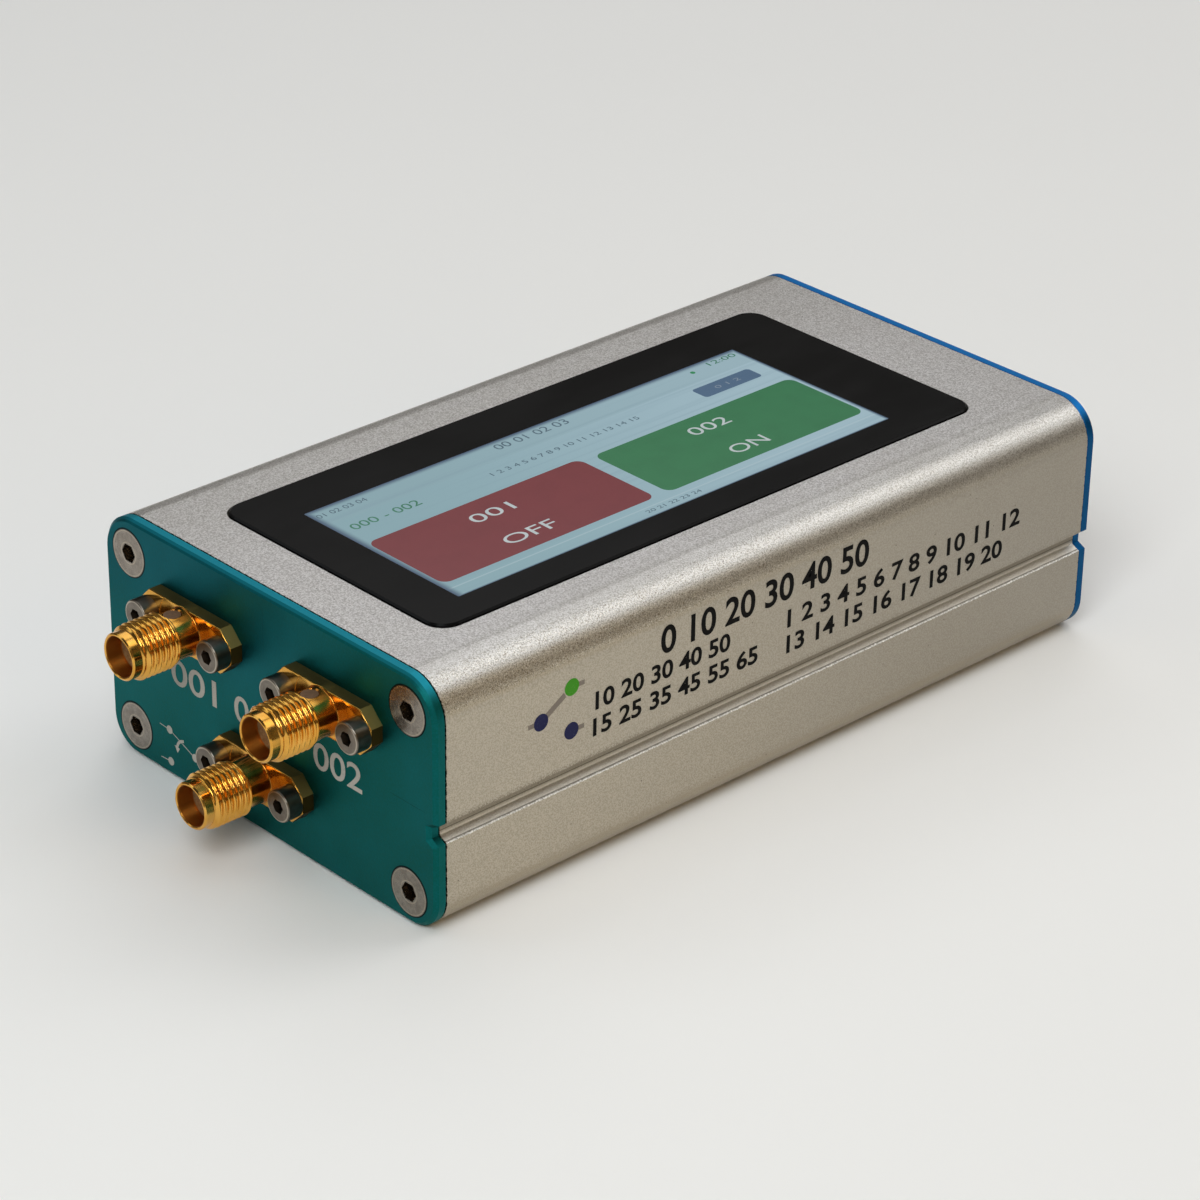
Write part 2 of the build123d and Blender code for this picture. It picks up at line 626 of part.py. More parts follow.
def sma_resin_plugs():
    plugs = []
    for place in PORTS:
        plug = resin_bore(resin_side(place), 0, NECK_RADIUS - RESIN_DISH)
        plug -= rod((in_front(NECK_LENGTH), FRONT_FACE), (0, 0), DIELECTRIC_RADIUS)
        plugs.append(Pos(0, *place) * plug)
    return plugs


def flange_screw(place):
    """A socket-cap screw M2, head outward."""
    seat = in_front(FLANGE_THICKNESS)
    crown = seat - M2_HEAD_HEIGHT
    head = rod((crown, seat), place, M2_HEAD_RADIUS)
    head = fillet(head.faces().sort_by(Axis.X)[0].edges(), M2_HEAD_ROUND)
    head -= along_x(Pos(*place) * hexagon(M2_KEY), crown, crown + M2_KEY_DEPTH)
    return head + rod((seat, seat + M2_LENGTH), place, M2_RADIUS)


def flange_screw_nut(place):
    nut = Pos(*place) * (hexagon(M2_NUT_ACROSS) - Circle(M2_RADIUS + THREAD_CLEARANCE))
    return along_x(nut, RF_BOARD_BACK, NUT_END)


# ---------------------------------------------------------------- radio board
def rf_board_spacer(place):
    ring = Pos(*place) * (Circle(RF_SPACER_RADIUS) - Circle(M2_RADIUS + SHANK_CLEARANCE))
    return along_x(ring, SHELL_START, RF_BOARD_FRONT)


def rf_board():
    """Stands behind the front plate on the flange screws."""
    heights = (BOTTOM_WALL + RF_BOARD_CLEARANCE, CEILING - RF_BOARD_CLEARANCE)
    thickness = (RF_BOARD_FRONT, RF_BOARD_BACK)
    board = block(thickness, centred(0, 2 * RF_BOARD_HALF_WIDTH), heights)
    for place in FLANGE_SCREWS:
        board -= rod(thickness, place, M2_RADIUS + SHANK_CLEARANCE)
    for place in PORTS:
        board -= rod(thickness, place, CONTACT_RADIUS)
    for pin_y in HEADER_PIN_YS:
        board -= rod(thickness, (pin_y, HEADER_PIN_Z), HEADER_HOLE_RADIUS)
    return board


def rf_can_space(shrink):
    """The outside of the radio shield can, or its inside when shrunk by the wall."""
    return block(
        (RF_BOARD_BACK, RF_BOARD_BACK + RF_CAN_DEPTH - shrink),
        centred(0, RF_CAN_WIDTH - 2 * shrink),
        centred(RF_CAN_MIDDLE, RF_CAN_HEIGHT - 2 * shrink),
    )


def rf_shield_can():
    return rf_can_space(0) - rf_can_space(CAN_WALL)


def rf_switch_chip():
    return block(
        (RF_BOARD_BACK, RF_BOARD_BACK + RF_CHIP_THICKNESS),
        centred(0, RF_CHIP_SIZE),
        centred(RF_CAN_MIDDLE, RF_CHIP_SIZE),
    )


def rf_capacitors():
    """One blocking capacitor for each port, beside the switch chip."""
    return [
        block(
            (RF_BOARD_BACK, RF_BOARD_BACK + RF_CAPACITOR_HEIGHT),
            centred(side * RF_CAPACITOR_SPACING, RF_CAPACITOR_LENGTH),
            centred(RF_CAN_MIDDLE, RF_CAPACITOR_WIDTH),
        )
        for side in (-1, 1)
    ] + [
        block(
            (RF_BOARD_BACK, RF_BOARD_BACK + RF_CAPACITOR_HEIGHT),
            centred(RF_CAPACITOR_OFFSET, RF_CAPACITOR_WIDTH),
            centred(RF_CAN_MIDDLE, RF_CAPACITOR_LENGTH),
        )
    ]


# ---------------------------------------------------------------- main board
def header_pin(pin_y):
    """A square pin from the radio board through the header, bent down into the main board."""
    width = centred(pin_y, HEADER_PIN_SIDE)
    level = block(
        (RF_BOARD_FRONT - HEADER_PIN_TAIL, HEADER_BEND_X + HEADER_PIN_SIDE / 2),
        width,
        centred(HEADER_PIN_Z, HEADER_PIN_SIDE),
    )
    foot = block(
        centred(HEADER_BEND_X, HEADER_PIN_SIDE),
        width,
        (MAIN_BOARD_HEIGHT - HEADER_PIN_TAIL, HEADER_PIN_Z + HEADER_PIN_SIDE / 2),
    )
    return level + foot


def board_header_pins():
    return [header_pin(pin_y) for pin_y in HEADER_PIN_YS]


def board_header():
    first, last = HEADER_PIN_YS[0], HEADER_PIN_YS[-1]
    body = block(
        (HEADER_FRONT, HEADER_BACK),
        (first - HEADER_PITCH / 2, last + HEADER_PITCH / 2),
        (MAIN_BOARD_TOP, MAIN_BOARD_TOP + HEADER_BODY),
    )
    for pin in board_header_pins():
        body -= pin
    return body


def jack_posts(radius):
    """Locating posts of the network socket, or their holes when the radius is larger."""
    along = JACK_FACE - POST_SETBACK
    heights = (MAIN_BOARD_TOP - POST_LENGTH, MAIN_BOARD_TOP)
    return [
        post((along, SOCKET_CENTRE_Y + side * POST_SPREAD / 2), heights, radius)
        for side in (1, -1)
    ]


def main_board():
    thickness = (MAIN_BOARD_HEIGHT, MAIN_BOARD_TOP)
    width = centred(0, 2 * MAIN_BOARD_HALF_WIDTH)
    board = block((MAIN_BOARD_FRONT, MAIN_BOARD_REAR), width, thickness)
    for hole in jack_posts(POST_RADIUS + PIN_HOLE_CLEARANCE):
        board -= hole
    for pin_y in HEADER_PIN_YS:
        board -= post((HEADER_BEND_X, pin_y), thickness, HEADER_HOLE_RADIUS)
    return board


# ---------------------------------------------------------------- display
def glass_plan(shrink):
    length = GLASS_LENGTH - 2 * shrink
    width = GLASS_WIDTH - 2 * shrink
    return rounded_plan(GLASS_CENTRE, length, width, GLASS_CORNER_RADIUS - shrink)


def cover_glass():
    glass = upward(glass_plan(0), (GLASS_BOTTOM, GLASS_TOP))
    return chamfer(glass.faces().sort_by(Axis.Z)[-1].edges(), GLASS_BEVEL)


def glass_adhesive():
    ring = glass_plan(ADHESIVE_INSET)
    ring -= rounded_plan(GLASS_CENTRE, WINDOW_LENGTH, WINDOW_WIDTH, WINDOW_CORNER_RADIUS)
    return upward(ring, (LEDGE_TOP, GLASS_BOTTOM))


def touch_film():
    length = WINDOW_LENGTH - 2 * TOUCH_FILM_MARGIN
    width = WINDOW_WIDTH - 2 * TOUCH_FILM_MARGIN
    return slab_on_board(GLASS_CENTRE, length, width, (FILM_BOTTOM, GLASS_BOTTOM))


def lcd_panel():
    return slab_on_board(LCD_CENTRE, LCD_LENGTH, LCD_WIDTH, (LCD_BOTTOM, FILM_BOTTOM))


def light_guide():
    return slab_on_board(LCD_CENTRE, LCD_LENGTH, LCD_WIDTH, (GUIDE_BOTTOM, LCD_BOTTOM))


def backlight_tray():
    """A shallow tray round the light guide and the panel, notched where the flex leaves."""
    rim = FILM_BOTTOM - TRAY_RIM_DROP
    tray = slab_on_board(LCD_CENTRE, TRAY_LENGTH, TRAY_WIDTH, (TRAY_BOTTOM, rim))
    room_length = LCD_LENGTH + 2 * TRAY_CLEARANCE
    room_width = LCD_WIDTH + 2 * TRAY_CLEARANCE
    tray -= slab_on_board(LCD_CENTRE, room_length, room_width, (GUIDE_BOTTOM, rim))
    end = LCD_CENTRE[0] + LCD_LENGTH / 2
    notch_width = centred(LCD_CENTRE[1], LCD_FLEX_WIDTH + 2 * TRAY_CLEARANCE)
    return tray - block((end, end + 2 * TRAY_WALL), notch_width, (LCD_BOTTOM - TRAY_CLEARANCE, rim))


def folded_ribbon(start_x, fold_x, end_x, low, high, thickness):
    """Side view of a flat cable that runs out at one height and folds back at another.

    It leaves start_x at the upper height, folds at fold_x and comes back to end_x below.
    low and high are the middles of its two level runs.
    """
    radius = (high - low) / 2
    upper = Pos((start_x + fold_x) / 2, high) * Rectangle(fold_x - start_x, thickness)
    lower = Pos((end_x + fold_x) / 2, low) * Rectangle(fold_x - end_x, thickness)
    ring = Circle(radius + thickness / 2) - Circle(radius - thickness / 2)
    half = Pos(radius, 0) * Rectangle(2 * radius, 2 * radius + 2 * thickness)
    return upper + lower + Pos(fold_x, (low + high) / 2) * (ring & half)


def lcd_flex():
    """Leaves the panel's rear end and folds under onto the controller board."""
    panel_end = LCD_CENTRE[0] + LCD_LENGTH / 2
    fold = panel_end + LCD_FLEX_EXIT
    landing = fold - LCD_FLEX_EXIT - LCD_FLEX_LANDING
    low = CONTROLLER_TOP + LCD_FLEX_THICKNESS / 2
    high = LCD_BOTTOM + LCD_FLEX_THICKNESS / 2
    profile = folded_ribbon(panel_end, fold, landing, low, high, LCD_FLEX_THICKNESS)
    return across_y(profile, centred(LCD_CENTRE[1], LCD_FLEX_WIDTH))


def foam_pads():
    """Two strips of foam tape between the tray and the controller board."""
    reach = TRAY_WIDTH / 2 - FOAM_EDGE - FOAM_WIDTH / 2
    return [
        slab_on_board(
            (LCD_CENTRE[0], LCD_CENTRE[1] + side * reach),
            FOAM_LENGTH,
            FOAM_WIDTH,
            (CONTROLLER_TOP, TRAY_BOTTOM),
        )
        for side in (1, -1)
    ]


def controller_board():
    heights = (CONTROLLER_BOTTOM, CONTROLLER_TOP)
    return slab_on_board(LCD_CENTRE, CONTROLLER_BOARD_LENGTH, LCD_WIDTH, heights)


def controller_module():
    heights = (CONTROLLER_BOTTOM - MODULE_THICKNESS, CONTROLLER_BOTTOM)
    return slab_on_board(MODULE_CENTRE, MODULE_LENGTH, MODULE_WIDTH, heights)


def controller_module_can():
    top = CONTROLLER_BOTTOM - MODULE_THICKNESS
    front = MODULE_CENTRE[0] - MODULE_LENGTH / 2 + MODULE_CAN_SETBACK
    length = (front, front + MODULE_CAN_LENGTH)
    width = centred(MODULE_CENTRE[1], MODULE_CAN_WIDTH)
    can = block(length, width, (top - MODULE_CAN_HEIGHT, top))
    room = block(
        (length[0] + CAN_WALL, length[1] - CAN_WALL),
        (width[0] + CAN_WALL, width[1] - CAN_WALL),
        (top - MODULE_CAN_HEIGHT + CAN_WALL, top),
    )
    return can - room


# ---------------------------------------------------------------- flat cable between boards
def board_ffc():
    """A flat cable from the controller board's connector round to the main board's."""
    fold = FFC_MOUTH + FFC_STRAIGHT
    profile = folded_ribbon(FFC_END, fold, FFC_END, FFC_LOW, FFC_HIGH, FFC_THICKNESS)
    return across_y(profile, centred(FFC_CENTRE[1], FFC_WIDTH))


def ffc_connectors():
    """One connector on the main board and one under the controller board."""
    heights = [
        (MAIN_BOARD_TOP, MAIN_BOARD_TOP + FFC_CONNECTOR_HEIGHT),
        (CONTROLLER_BOTTOM - FFC_CONNECTOR_HEIGHT, CONTROLLER_BOTTOM),
    ]
    cable_width = centred(FFC_CENTRE[1], FFC_WIDTH)
    connectors = []
    for low, high in heights:
        shell = slab_on_board(FFC_CENTRE, FFC_CONNECTOR_LENGTH, FFC_CONNECTOR_WIDTH, (low, high))
        shell -= block((FFC_END, FFC_MOUTH), cable_width, centred((low + high) / 2, FFC_THICKNESS))
        connectors.append(shell)
    return connectors


# ---------------------------------------------------------------- network socket
def contact_profile():
    """Side view of a contact: down and inward from its root in the socket's roof."""
    root = JACK_FACE - CONTACT_ROOT
    heel = root - CONTACT_RUN
    return Polygon(
        (root, PLUG_TOP),
        (heel, PLUG_TOP - CONTACT_DROP),
        (heel, PLUG_TOP - CONTACT_DROP + CONTACT_WIRE),
        (root - CONTACT_WIRE, PLUG_TOP + CONTACT_WIRE),
        (root, PLUG_TOP + CONTACT_WIRE),
        align=None,
    )


def rj45_contacts():
    first = SOCKET_CENTRE_Y - CONTACT_PITCH * (CONTACT_COUNT - 1) / 2
    return [
        across_y(contact_profile(), centred(first + index * CONTACT_PITCH, CONTACT_WIDTH))
        for index in range(CONTACT_COUNT)
    ]


def rj45_leds():
    """Two indicators in the lower corners of the socket's face."""
    heights = (LED_BOTTOM, LED_BOTTOM + LED_HEIGHT)
    return [
        block((JACK_FACE - LED_DEPTH, JACK_FACE), centred(led_y, LED_WIDTH), heights)
        for led_y in LED_YS
    ]


def plug_space():
    """The room for a plug and its latch, open to the rear."""
    depth = (JACK_FACE - PLUG_DEPTH, JACK_FACE)
    key_bottom = LATCH_BOTTOM - LATCH_KEY_HEIGHT
    space = block(depth, centred(SOCKET_CENTRE_Y, PLUG_WIDTH), (PLUG_BOTTOM, PLUG_TOP))
    space += block(depth, centred(SOCKET_CENTRE_Y, LATCH_WIDTH), (LATCH_BOTTOM, PLUG_BOTTOM))
    space += block(depth, centred(SOCKET_CENTRE_Y, LATCH_KEY_WIDTH), (key_bottom, LATCH_BOTTOM))
    return space


def rj45_housing():
    body = block(
        (JACK_BACK, JACK_FACE),
        centred(SOCKET_CENTRE_Y, JACK_WIDTH),
        (MAIN_BOARD_TOP, JACK_TOP),
    )
    body -= plug_space()
    for piece in rj45_contacts() + rj45_leds():
        body -= piece
    for locating_post in jack_posts(POST_RADIUS):
        body += locating_post
    return body


def rj45_shield():
    """A sheet-metal cover over the housing's top, sides and back."""
    cover = block(
        (JACK_BACK - JACK_SHIELD, JACK_FACE),
        centred(SOCKET_CENTRE_Y, JACK_WIDTH + 2 * JACK_SHIELD),
        (MAIN_BOARD_TOP, JACK_TOP + JACK_SHIELD),
    )
    return cover - block(
        (JACK_BACK, JACK_FACE),
        centred(SOCKET_CENTRE_Y, JACK_WIDTH),
        (MAIN_BOARD_TOP, JACK_TOP),
    )


# ---------------------------------------------------------------- power parts
def stacked(centre, size, floor):
    """A box of (length, width, height) standing at a height."""
    length, width, height = size
    return slab_on_board(centre, length, width, (floor, floor + height))


def winding_floor():
    return MAIN_BOARD_TOP + BOBBIN_SIZE[2] + (CORE_SIZE[2] - WINDING_SIZE[2]) / 2


def poe_transformer_bobbin():
    return stacked(TRANSFORMER_CENTRE, BOBBIN_SIZE, MAIN_BOARD_TOP)


def poe_transformer_winding():
    winding = stacked(TRANSFORMER_CENTRE, WINDING_SIZE, winding_floor())
    return fillet(winding.edges().filter_by(Axis.Z), WINDING_ROUND)


def poe_transformer_core():
    """A ferrite frame round the winding."""
    core = stacked(TRANSFORMER_CENTRE, CORE_SIZE, MAIN_BOARD_TOP + BOBBIN_SIZE[2])
    return core - stacked(TRANSFORMER_CENTRE, WINDING_SIZE, winding_floor())


def power_inductor():
    body = stacked(INDUCTOR_CENTRE, (INDUCTOR_SIDE, INDUCTOR_SIDE, INDUCTOR_HEIGHT), MAIN_BOARD_TOP)
    return chamfer(body.edges().filter_by(Axis.Z), INDUCTOR_CORNER_CUT)


def bulk_capacitor(place):
    base = (CAPACITOR_BASE_SIDE, CAPACITOR_BASE_SIDE, CAPACITOR_BASE_HEIGHT)
    can = post(place, (MAIN_BOARD_TOP, MAIN_BOARD_TOP + CAPACITOR_HEIGHT), CAPACITOR_RADIUS)
    can = fillet(can.faces().sort_by(Axis.Z)[-1].edges(), CAPACITOR_ROUND)
    return can + stacked(place, base, MAIN_BOARD_TOP)


def chip(centre, side, height):
    return stacked(centre, (side, side, height), MAIN_BOARD_TOP)


def rectifier_bridge(place):
    return stacked(place, (BRIDGE_LENGTH, BRIDGE_WIDTH, BRIDGE_HEIGHT), MAIN_BOARD_TOP)


# ---------------------------------------------------------------- reset button
def reset_switch_body():
    """A side-pressed switch that traps the plunger's head in its chamber."""
    body = block(
        (RESET_BODY_BACK, RESET_FACE),
        centred(RESET_CENTRE_Y, RESET_BODY_WIDTH),
        (MAIN_BOARD_TOP, MAIN_BOARD_TOP + RESET_BODY_HEIGHT),
    )
    chamber = (RESET_CHAMBER_BACK, RESET_CHAMBER_FRONT)
    body -= rod(chamber, RESET_AXIS, RESET_HEAD_RADIUS + RESET_CLEARANCE)
    return body - rod((RESET_CHAMBER_FRONT, RESET_FACE), RESET_AXIS, RESET_STEM_RADIUS + RESET_CLEARANCE)


def reset_plunger():
    head = rod((RESET_HEAD_BACK, RESET_HEAD_FRONT), RESET_AXIS, RESET_HEAD_RADIUS)
    return head + rod((RESET_HEAD_FRONT, RESET_TIP), RESET_AXIS, RESET_STEM_RADIUS)


# ---------------------------------------------------------------- the assembly
def numbered(name, make):
    """One node for each port."""
    return {f"{name}_{number}": make(place) for number, place in enumerate(PORTS, start=1)}


def assembly():
    """Every node of the part: its name and its solid, or a list of separate solids."""
    rear_screws = plate_screws()
    return {
        "top_shell": top_shell(),
        "bottom_shell": bottom_shell(),
        "front_plate": front_plate(),
        "rear_plate": rear_plate(),
        "front_plate_screws": [mirror(screw, Plane.YZ) for screw in rear_screws],
        "rear_plate_screws": rear_screws,
        **numbered("sma_body", sma_body),
        **numbered("sma_dielectric", sma_dielectric),
        **numbered("sma_contact", sma_contact),
        "sma_resin_plugs": sma_resin_plugs(),
        "sma_flange_screws": [flange_screw(place) for place in FLANGE_SCREWS],
        "flange_screw_nuts": [flange_screw_nut(place) for place in FLANGE_SCREWS],
        "rf_board_spacers": [rf_board_spacer(place) for place in FLANGE_SCREWS],
        "rf_board": rf_board(),
        "rf_shield_can": rf_shield_can(),
        "rf_switch_chip": rf_switch_chip(),
        "rf_capacitors": rf_capacitors(),
        "board_header": board_header(),
        "board_header_pins": board_header_pins(),
        "main_board": main_board(),
        "cover_glass": cover_glass(),
        "glass_adhesive": glass_adhesive(),
        "touch_film": touch_film(),
        "lcd_panel": lcd_panel(),
        "light_guide": light_guide(),
        "backlight_tray": backlight_tray(),
        "lcd_flex": lcd_flex(),
        "foam_pads": foam_pads(),
        "controller_board": controller_board(),
        "controller_module": controller_module(),
        "controller_module_can": controller_module_can(),
        "board_ffc": board_ffc(),
        "ffc_connectors": ffc_connectors(),
        "rj45_housing": rj45_housing(),
        "rj45_shield": rj45_shield(),
        "rj45_contacts": rj45_contacts(),
        "rj45_leds": rj45_leds(),
        "poe_transformer_bobbin": poe_transformer_bobbin(),
        "poe_transformer_winding": poe_transformer_winding(),
        "poe_transformer_core": poe_transformer_core(),
        "power_inductor": power_inductor(),
        "bulk_capacitors": [bulk_capacitor(place) for place in CAPACITOR_PLACES],
        "poe_controller_chip": chip(POE_CHIP_CENTRE, POE_CHIP_SIDE, POE_CHIP_HEIGHT),
        "ethernet_chip": chip(ETHERNET_CHIP_CENTRE, ETHERNET_CHIP_SIDE, ETHERNET_CHIP_HEIGHT),
        "rectifier_bridges": [rectifier_bridge(place) for place in BRIDGE_PLACES],
        "reset_switch_body": reset_switch_body(),
        "reset_plunger": reset_plunger(),
    }


def solids_of(shape):
    """Every solid of a shape or of a list of shapes."""
    pieces = shape if isinstance(shape, list) else [shape]
    return [solid for piece in pieces for solid in piece.solids()]


os.makedirs("parts", exist_ok=True)
for name, shape in assembly().items():
    export_step(Compound(label=name, children=solids_of(shape)), f"parts/{name}.step")
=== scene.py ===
"""Looks of the coaxial antenna switch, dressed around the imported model.

Lengths are in millimetres until they reach Blender, where MM turns them into metres.
The frame is the model's own: the front plate with its jacks faces -X, the printed side
faces -Y and the display faces +Z.
"""

import math
from functools import cached_property

import bmesh
import bpy
from mathutils import Matrix, Vector


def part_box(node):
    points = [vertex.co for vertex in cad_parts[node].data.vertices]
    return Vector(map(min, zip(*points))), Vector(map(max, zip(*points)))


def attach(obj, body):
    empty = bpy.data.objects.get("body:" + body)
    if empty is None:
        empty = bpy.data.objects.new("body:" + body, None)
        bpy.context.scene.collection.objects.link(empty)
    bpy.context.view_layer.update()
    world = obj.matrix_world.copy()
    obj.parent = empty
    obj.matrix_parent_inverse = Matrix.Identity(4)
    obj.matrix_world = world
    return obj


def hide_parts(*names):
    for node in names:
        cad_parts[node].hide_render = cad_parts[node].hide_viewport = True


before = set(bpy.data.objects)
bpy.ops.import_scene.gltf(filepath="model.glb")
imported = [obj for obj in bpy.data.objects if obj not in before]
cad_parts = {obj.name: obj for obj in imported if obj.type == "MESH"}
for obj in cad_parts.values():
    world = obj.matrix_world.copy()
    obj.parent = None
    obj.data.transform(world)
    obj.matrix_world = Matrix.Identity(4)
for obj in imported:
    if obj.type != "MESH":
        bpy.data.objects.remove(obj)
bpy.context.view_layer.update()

MM = 0.001
CASE = "case"


def corners(node):
    """Lowest and highest corner of a node, in millimetres."""
    low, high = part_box(node)
    return Vector(low) / MM, Vector(high) / MM


def middle(node):
    """Middle of a node's box, in millimetres."""
    low, high = corners(node)
    return (low + high) / 2


# ---- sizes and places

SHELL_HIGH = corners("top_shell")[1]
SHELL_END = SHELL_HIGH.x
HALF_WIDTH = SHELL_HIGH.y
CASE_TOP = SHELL_HIGH.z
GLASS_TOP = corners("cover_glass")[1].z
FRONT_FACE = corners("front_plate")[0].x
PLATE_REACH = -FRONT_FACE  # the rear plate's outer face lies as far out on the other side

TOP_EDGE_RADIUS = 4.7
ROUND_START = HALF_WIDTH - TOP_EDGE_RADIUS
GROOVE_LIP = 10.95
GROOVE_MIDDLE = 12.2
GROOVE_SEAM = 12.05
GROOVE_UPPER_LIP = 13.4

PLATE_SCREW_Y = 23.2
PLATE_SCREW_LOW_Z, PLATE_SCREW_HIGH_Z = 3.76, 25.3
PLATE_SCREW_RADIUS = 2.8
PLATE_SOCKET_RADIUS = 1.2

UPPER_JACK = middle("sma_body_1")
LOWER_JACK = middle("sma_body_3")
FLANGE_LENGTH, FLANGE_HEIGHT, FLANGE_THICKNESS = 15.7, 5.45, 1.6
FLANGE_FACE = FRONT_FACE - FLANGE_THICKNESS
NECK_RADIUS = 2.7
BORE_RADIUS = 2.3

CAP_SCREW_Y = 6.15  # beside the axis of its jack
CAP_SCREW_RADIUS = 1.85
CAP_SOCKET_RADIUS = 0.94
CAP_SCREW_TOP = corners("sma_flange_screws")[0].x


def toward(azimuth, elevation):
    """The direction at these angles, in degrees. Azimuth runs from +X towards +Y."""
    across = math.radians(azimuth)
    up = math.radians(elevation)
    return Vector((math.cos(up) * math.cos(across), math.cos(up) * math.sin(across), math.sin(up)))


def placed(name, data):
    """A new object of the scene that shows this data."""
    item = bpy.data.objects.new(name, data)
    bpy.context.scene.collection.objects.link(item)
    return item


# ---- camera

CAMERA_AZIMUTH = 46.5004
CAMERA_DIP = 28.0035  # below the horizon
CAMERA_ROLL = 0.8946
CAMERA_PLACE = (-273.876, -286.402, 221.567)
CAMERA_LENS = 117.728  # on a 36 mm sensor


def make_camera():
    """The photograph's camera, which looks down at the front plate and the printed side."""
    data = bpy.data.cameras.new("camera")
    data.lens = CAMERA_LENS
    data.sensor_width = 36.0
    data.clip_start = 0.01
    data.clip_end = 50.0
    camera = placed("camera", data)
    aim = toward(CAMERA_AZIMUTH, -CAMERA_DIP).to_track_quat("-Z", "Y").to_matrix().to_4x4()
    roll = Matrix.Rotation(math.radians(CAMERA_ROLL), 4, "Z")
    camera.matrix_world = Matrix.Translation(Vector(CAMERA_PLACE) * MM) @ aim @ roll
    bpy.context.scene.camera = camera


# ---- node recipes


class Recipe:
    """One procedural material, with short calls for the nodes that the finishes share.

    Lengths given to its calls are in millimetres on the object. A lit material is painted by
    its glow, and any other by its base colour.
    """

    def __init__(self, name, tone=None, **sockets):
        self.material = bpy.data.materials.new(name)
        self.material.use_nodes = True
        self.tree = self.material.node_tree
        self.shader = self.tree.nodes["Principled BSDF"]
        self.place = self.node("TexCoord").outputs["Object"]
        self.painted = "Emission Color" if "Emission_Strength" in sockets else "Base Color"
        self.tone = tone
        for socket, value in sockets.items():
            self.feed(self.shader.inputs[socket.replace("_", " ")], value)

    def feed(self, socket, value):
        """Links a socket to another one, or sets it to a plain value."""
        if isinstance(value, bpy.types.NodeSocket):
            self.tree.links.new(value, socket)
        else:
            socket.default_value = value

    def node(self, kind, *values, **named):
        """A new node, with its first inputs fed in their order and others by their names."""
        node = self.tree.nodes.new("ShaderNode" + kind)
        for key, value in [*enumerate(values), *named.items()]:
            self.feed(node.inputs[key], value)
        return node

    def color(self, tone):
        """Paints the material with this tone."""
        self.tone = tone
        self.feed(self.shader.inputs[self.painted], tone)

    def lay(self, color, *factors):
        """Lays a colour over the tone so far, as strongly as the product of the factors."""
        self.color(self.mix(self.times(*factors), self.tone, color))

    def roughness(self, value, *limits):
        """Sets the roughness to the value, or to a band over it with these limits."""
        self.feed(self.shader.inputs["Roughness"], self.band(value, *limits) if limits else value)

    def math(self, operation, first, second=0.0):
        node = self.node("Math", first, second)
        node.operation = operation
        return node.outputs[0]

    def minus(self, first, second):
        return self.math("SUBTRACT", first, second)

    def times(self, *values):
        product = values[0]
        for value in values[1:]:
            product = self.math("MULTIPLY", product, value)
        return product

    def reach(self, across, up):
        """Distance from an axis, given how far a point lies beside it and above it."""
        squares = self.math("ADD", self.math("POWER", across, 2.0), self.math("POWER", up, 2.0))
        return self.math("SQRT", squares)

    @cached_property
    def axes(self):
        """The place on the object as three numbers, in millimetres."""
        return [self.math("DIVIDE", axis, MM) for axis in self.node("SeparateXYZ", self.place).outputs]

    @cached_property
    def upward(self):
        """1 on a face that looks up, 0 on an upright one, -1 on one that looks down."""
        return self.node("SeparateXYZ", self.place.node.outputs["Normal"]).outputs["Z"]

    def noise(self, size, detail=2.0, roughness=0.5, along=None, distortion=0.0):
        """Soft noise whose blobs are about that size, or drawn out where along is below 1."""
        place = self.node("Mapping", self.place, Scale=along).outputs[0] if along else self.place
        node = self.node(
            "TexNoise", Vector=place, Scale=1.0 / (size * MM),
            Detail=detail, Roughness=roughness, Distortion=distortion,
        )
        return node.outputs[0]

    def cells(self, size, output="Distance"):
        """Distance to the nearest of many scattered points, or a number for each cell."""
        return self.node("TexVoronoi", Vector=self.place, Scale=1.0 / (size * MM)).outputs[output]

    def band(self, value, start, end, low=0.0, high=1.0):
        """low up to start, high from end on, and a soft step between. End may be the smaller one."""
        node = self.node("MapRange", value, start, end, low, high)
        node.interpolation_type = "SMOOTHSTEP"
        return node.outputs["Result"]

    def nearest(self, value, low, high):
        """The nearer one of two places."""
        middle = (low + high) / 2
        return self.band(value, middle - 0.1, middle + 0.1, low, high)

    def near(self, value, middle, reach, soft):
        """1 within reach of middle, falling to 0 over soft."""
        gap = self.math("ABSOLUTE", self.minus(value, middle))
        return self.band(gap, reach + soft, reach)

    def stripes(self, value, per_mm, reach, soft):
        """Parallel lines across a value, so many to a millimetre."""
        return self.near(self.math("FRACT", self.times(value, per_mm)), 0.5, reach, soft)

    def speckle(self, size, share, reach):
        """Sparse small spots: 1 inside a spot, 0 elsewhere."""
        close = self.band(self.cells(size), reach, reach * 0.6)
        pick = self.math("FRACT", self.times(self.cells(size, "Color"), 7.31))
        return self.times(close, self.band(pick, share + 0.01, share))

    def mix(self, factor, first, second):
        node = self.node("Mix", factor)
        node.data_type = "RGBA"
        for socket, value in ((node.inputs[6], first), (node.inputs[7], second)):
            self.feed(socket, (*value, 1.0) if isinstance(value, tuple) else value)
        return node.outputs[2]

    def bump(self, height, depth):
        """Relief of that depth, laid over the relief given before."""
        node = self.node("Bump", Height=height, Distance=depth * MM)
        normal = self.shader.inputs["Normal"]
        if normal.is_linked:
            self.feed(node.inputs["Normal"], normal.links[0].from_socket)
        self.feed(normal, node.outputs[0])

    def turned(self, across, up, strength):
        """Spreads the shine across lathe marks that run round an X axis."""
        way = self.node("CombineXYZ", Y=self.times(up, -1.0), Z=across)
        self.feed(self.shader.inputs["Tangent"], way.outputs[0])
        self.feed(self.shader.inputs["Anisotropic"], strength)
        self.feed(self.shader.inputs["Anisotropic Rotation"], 0.25)


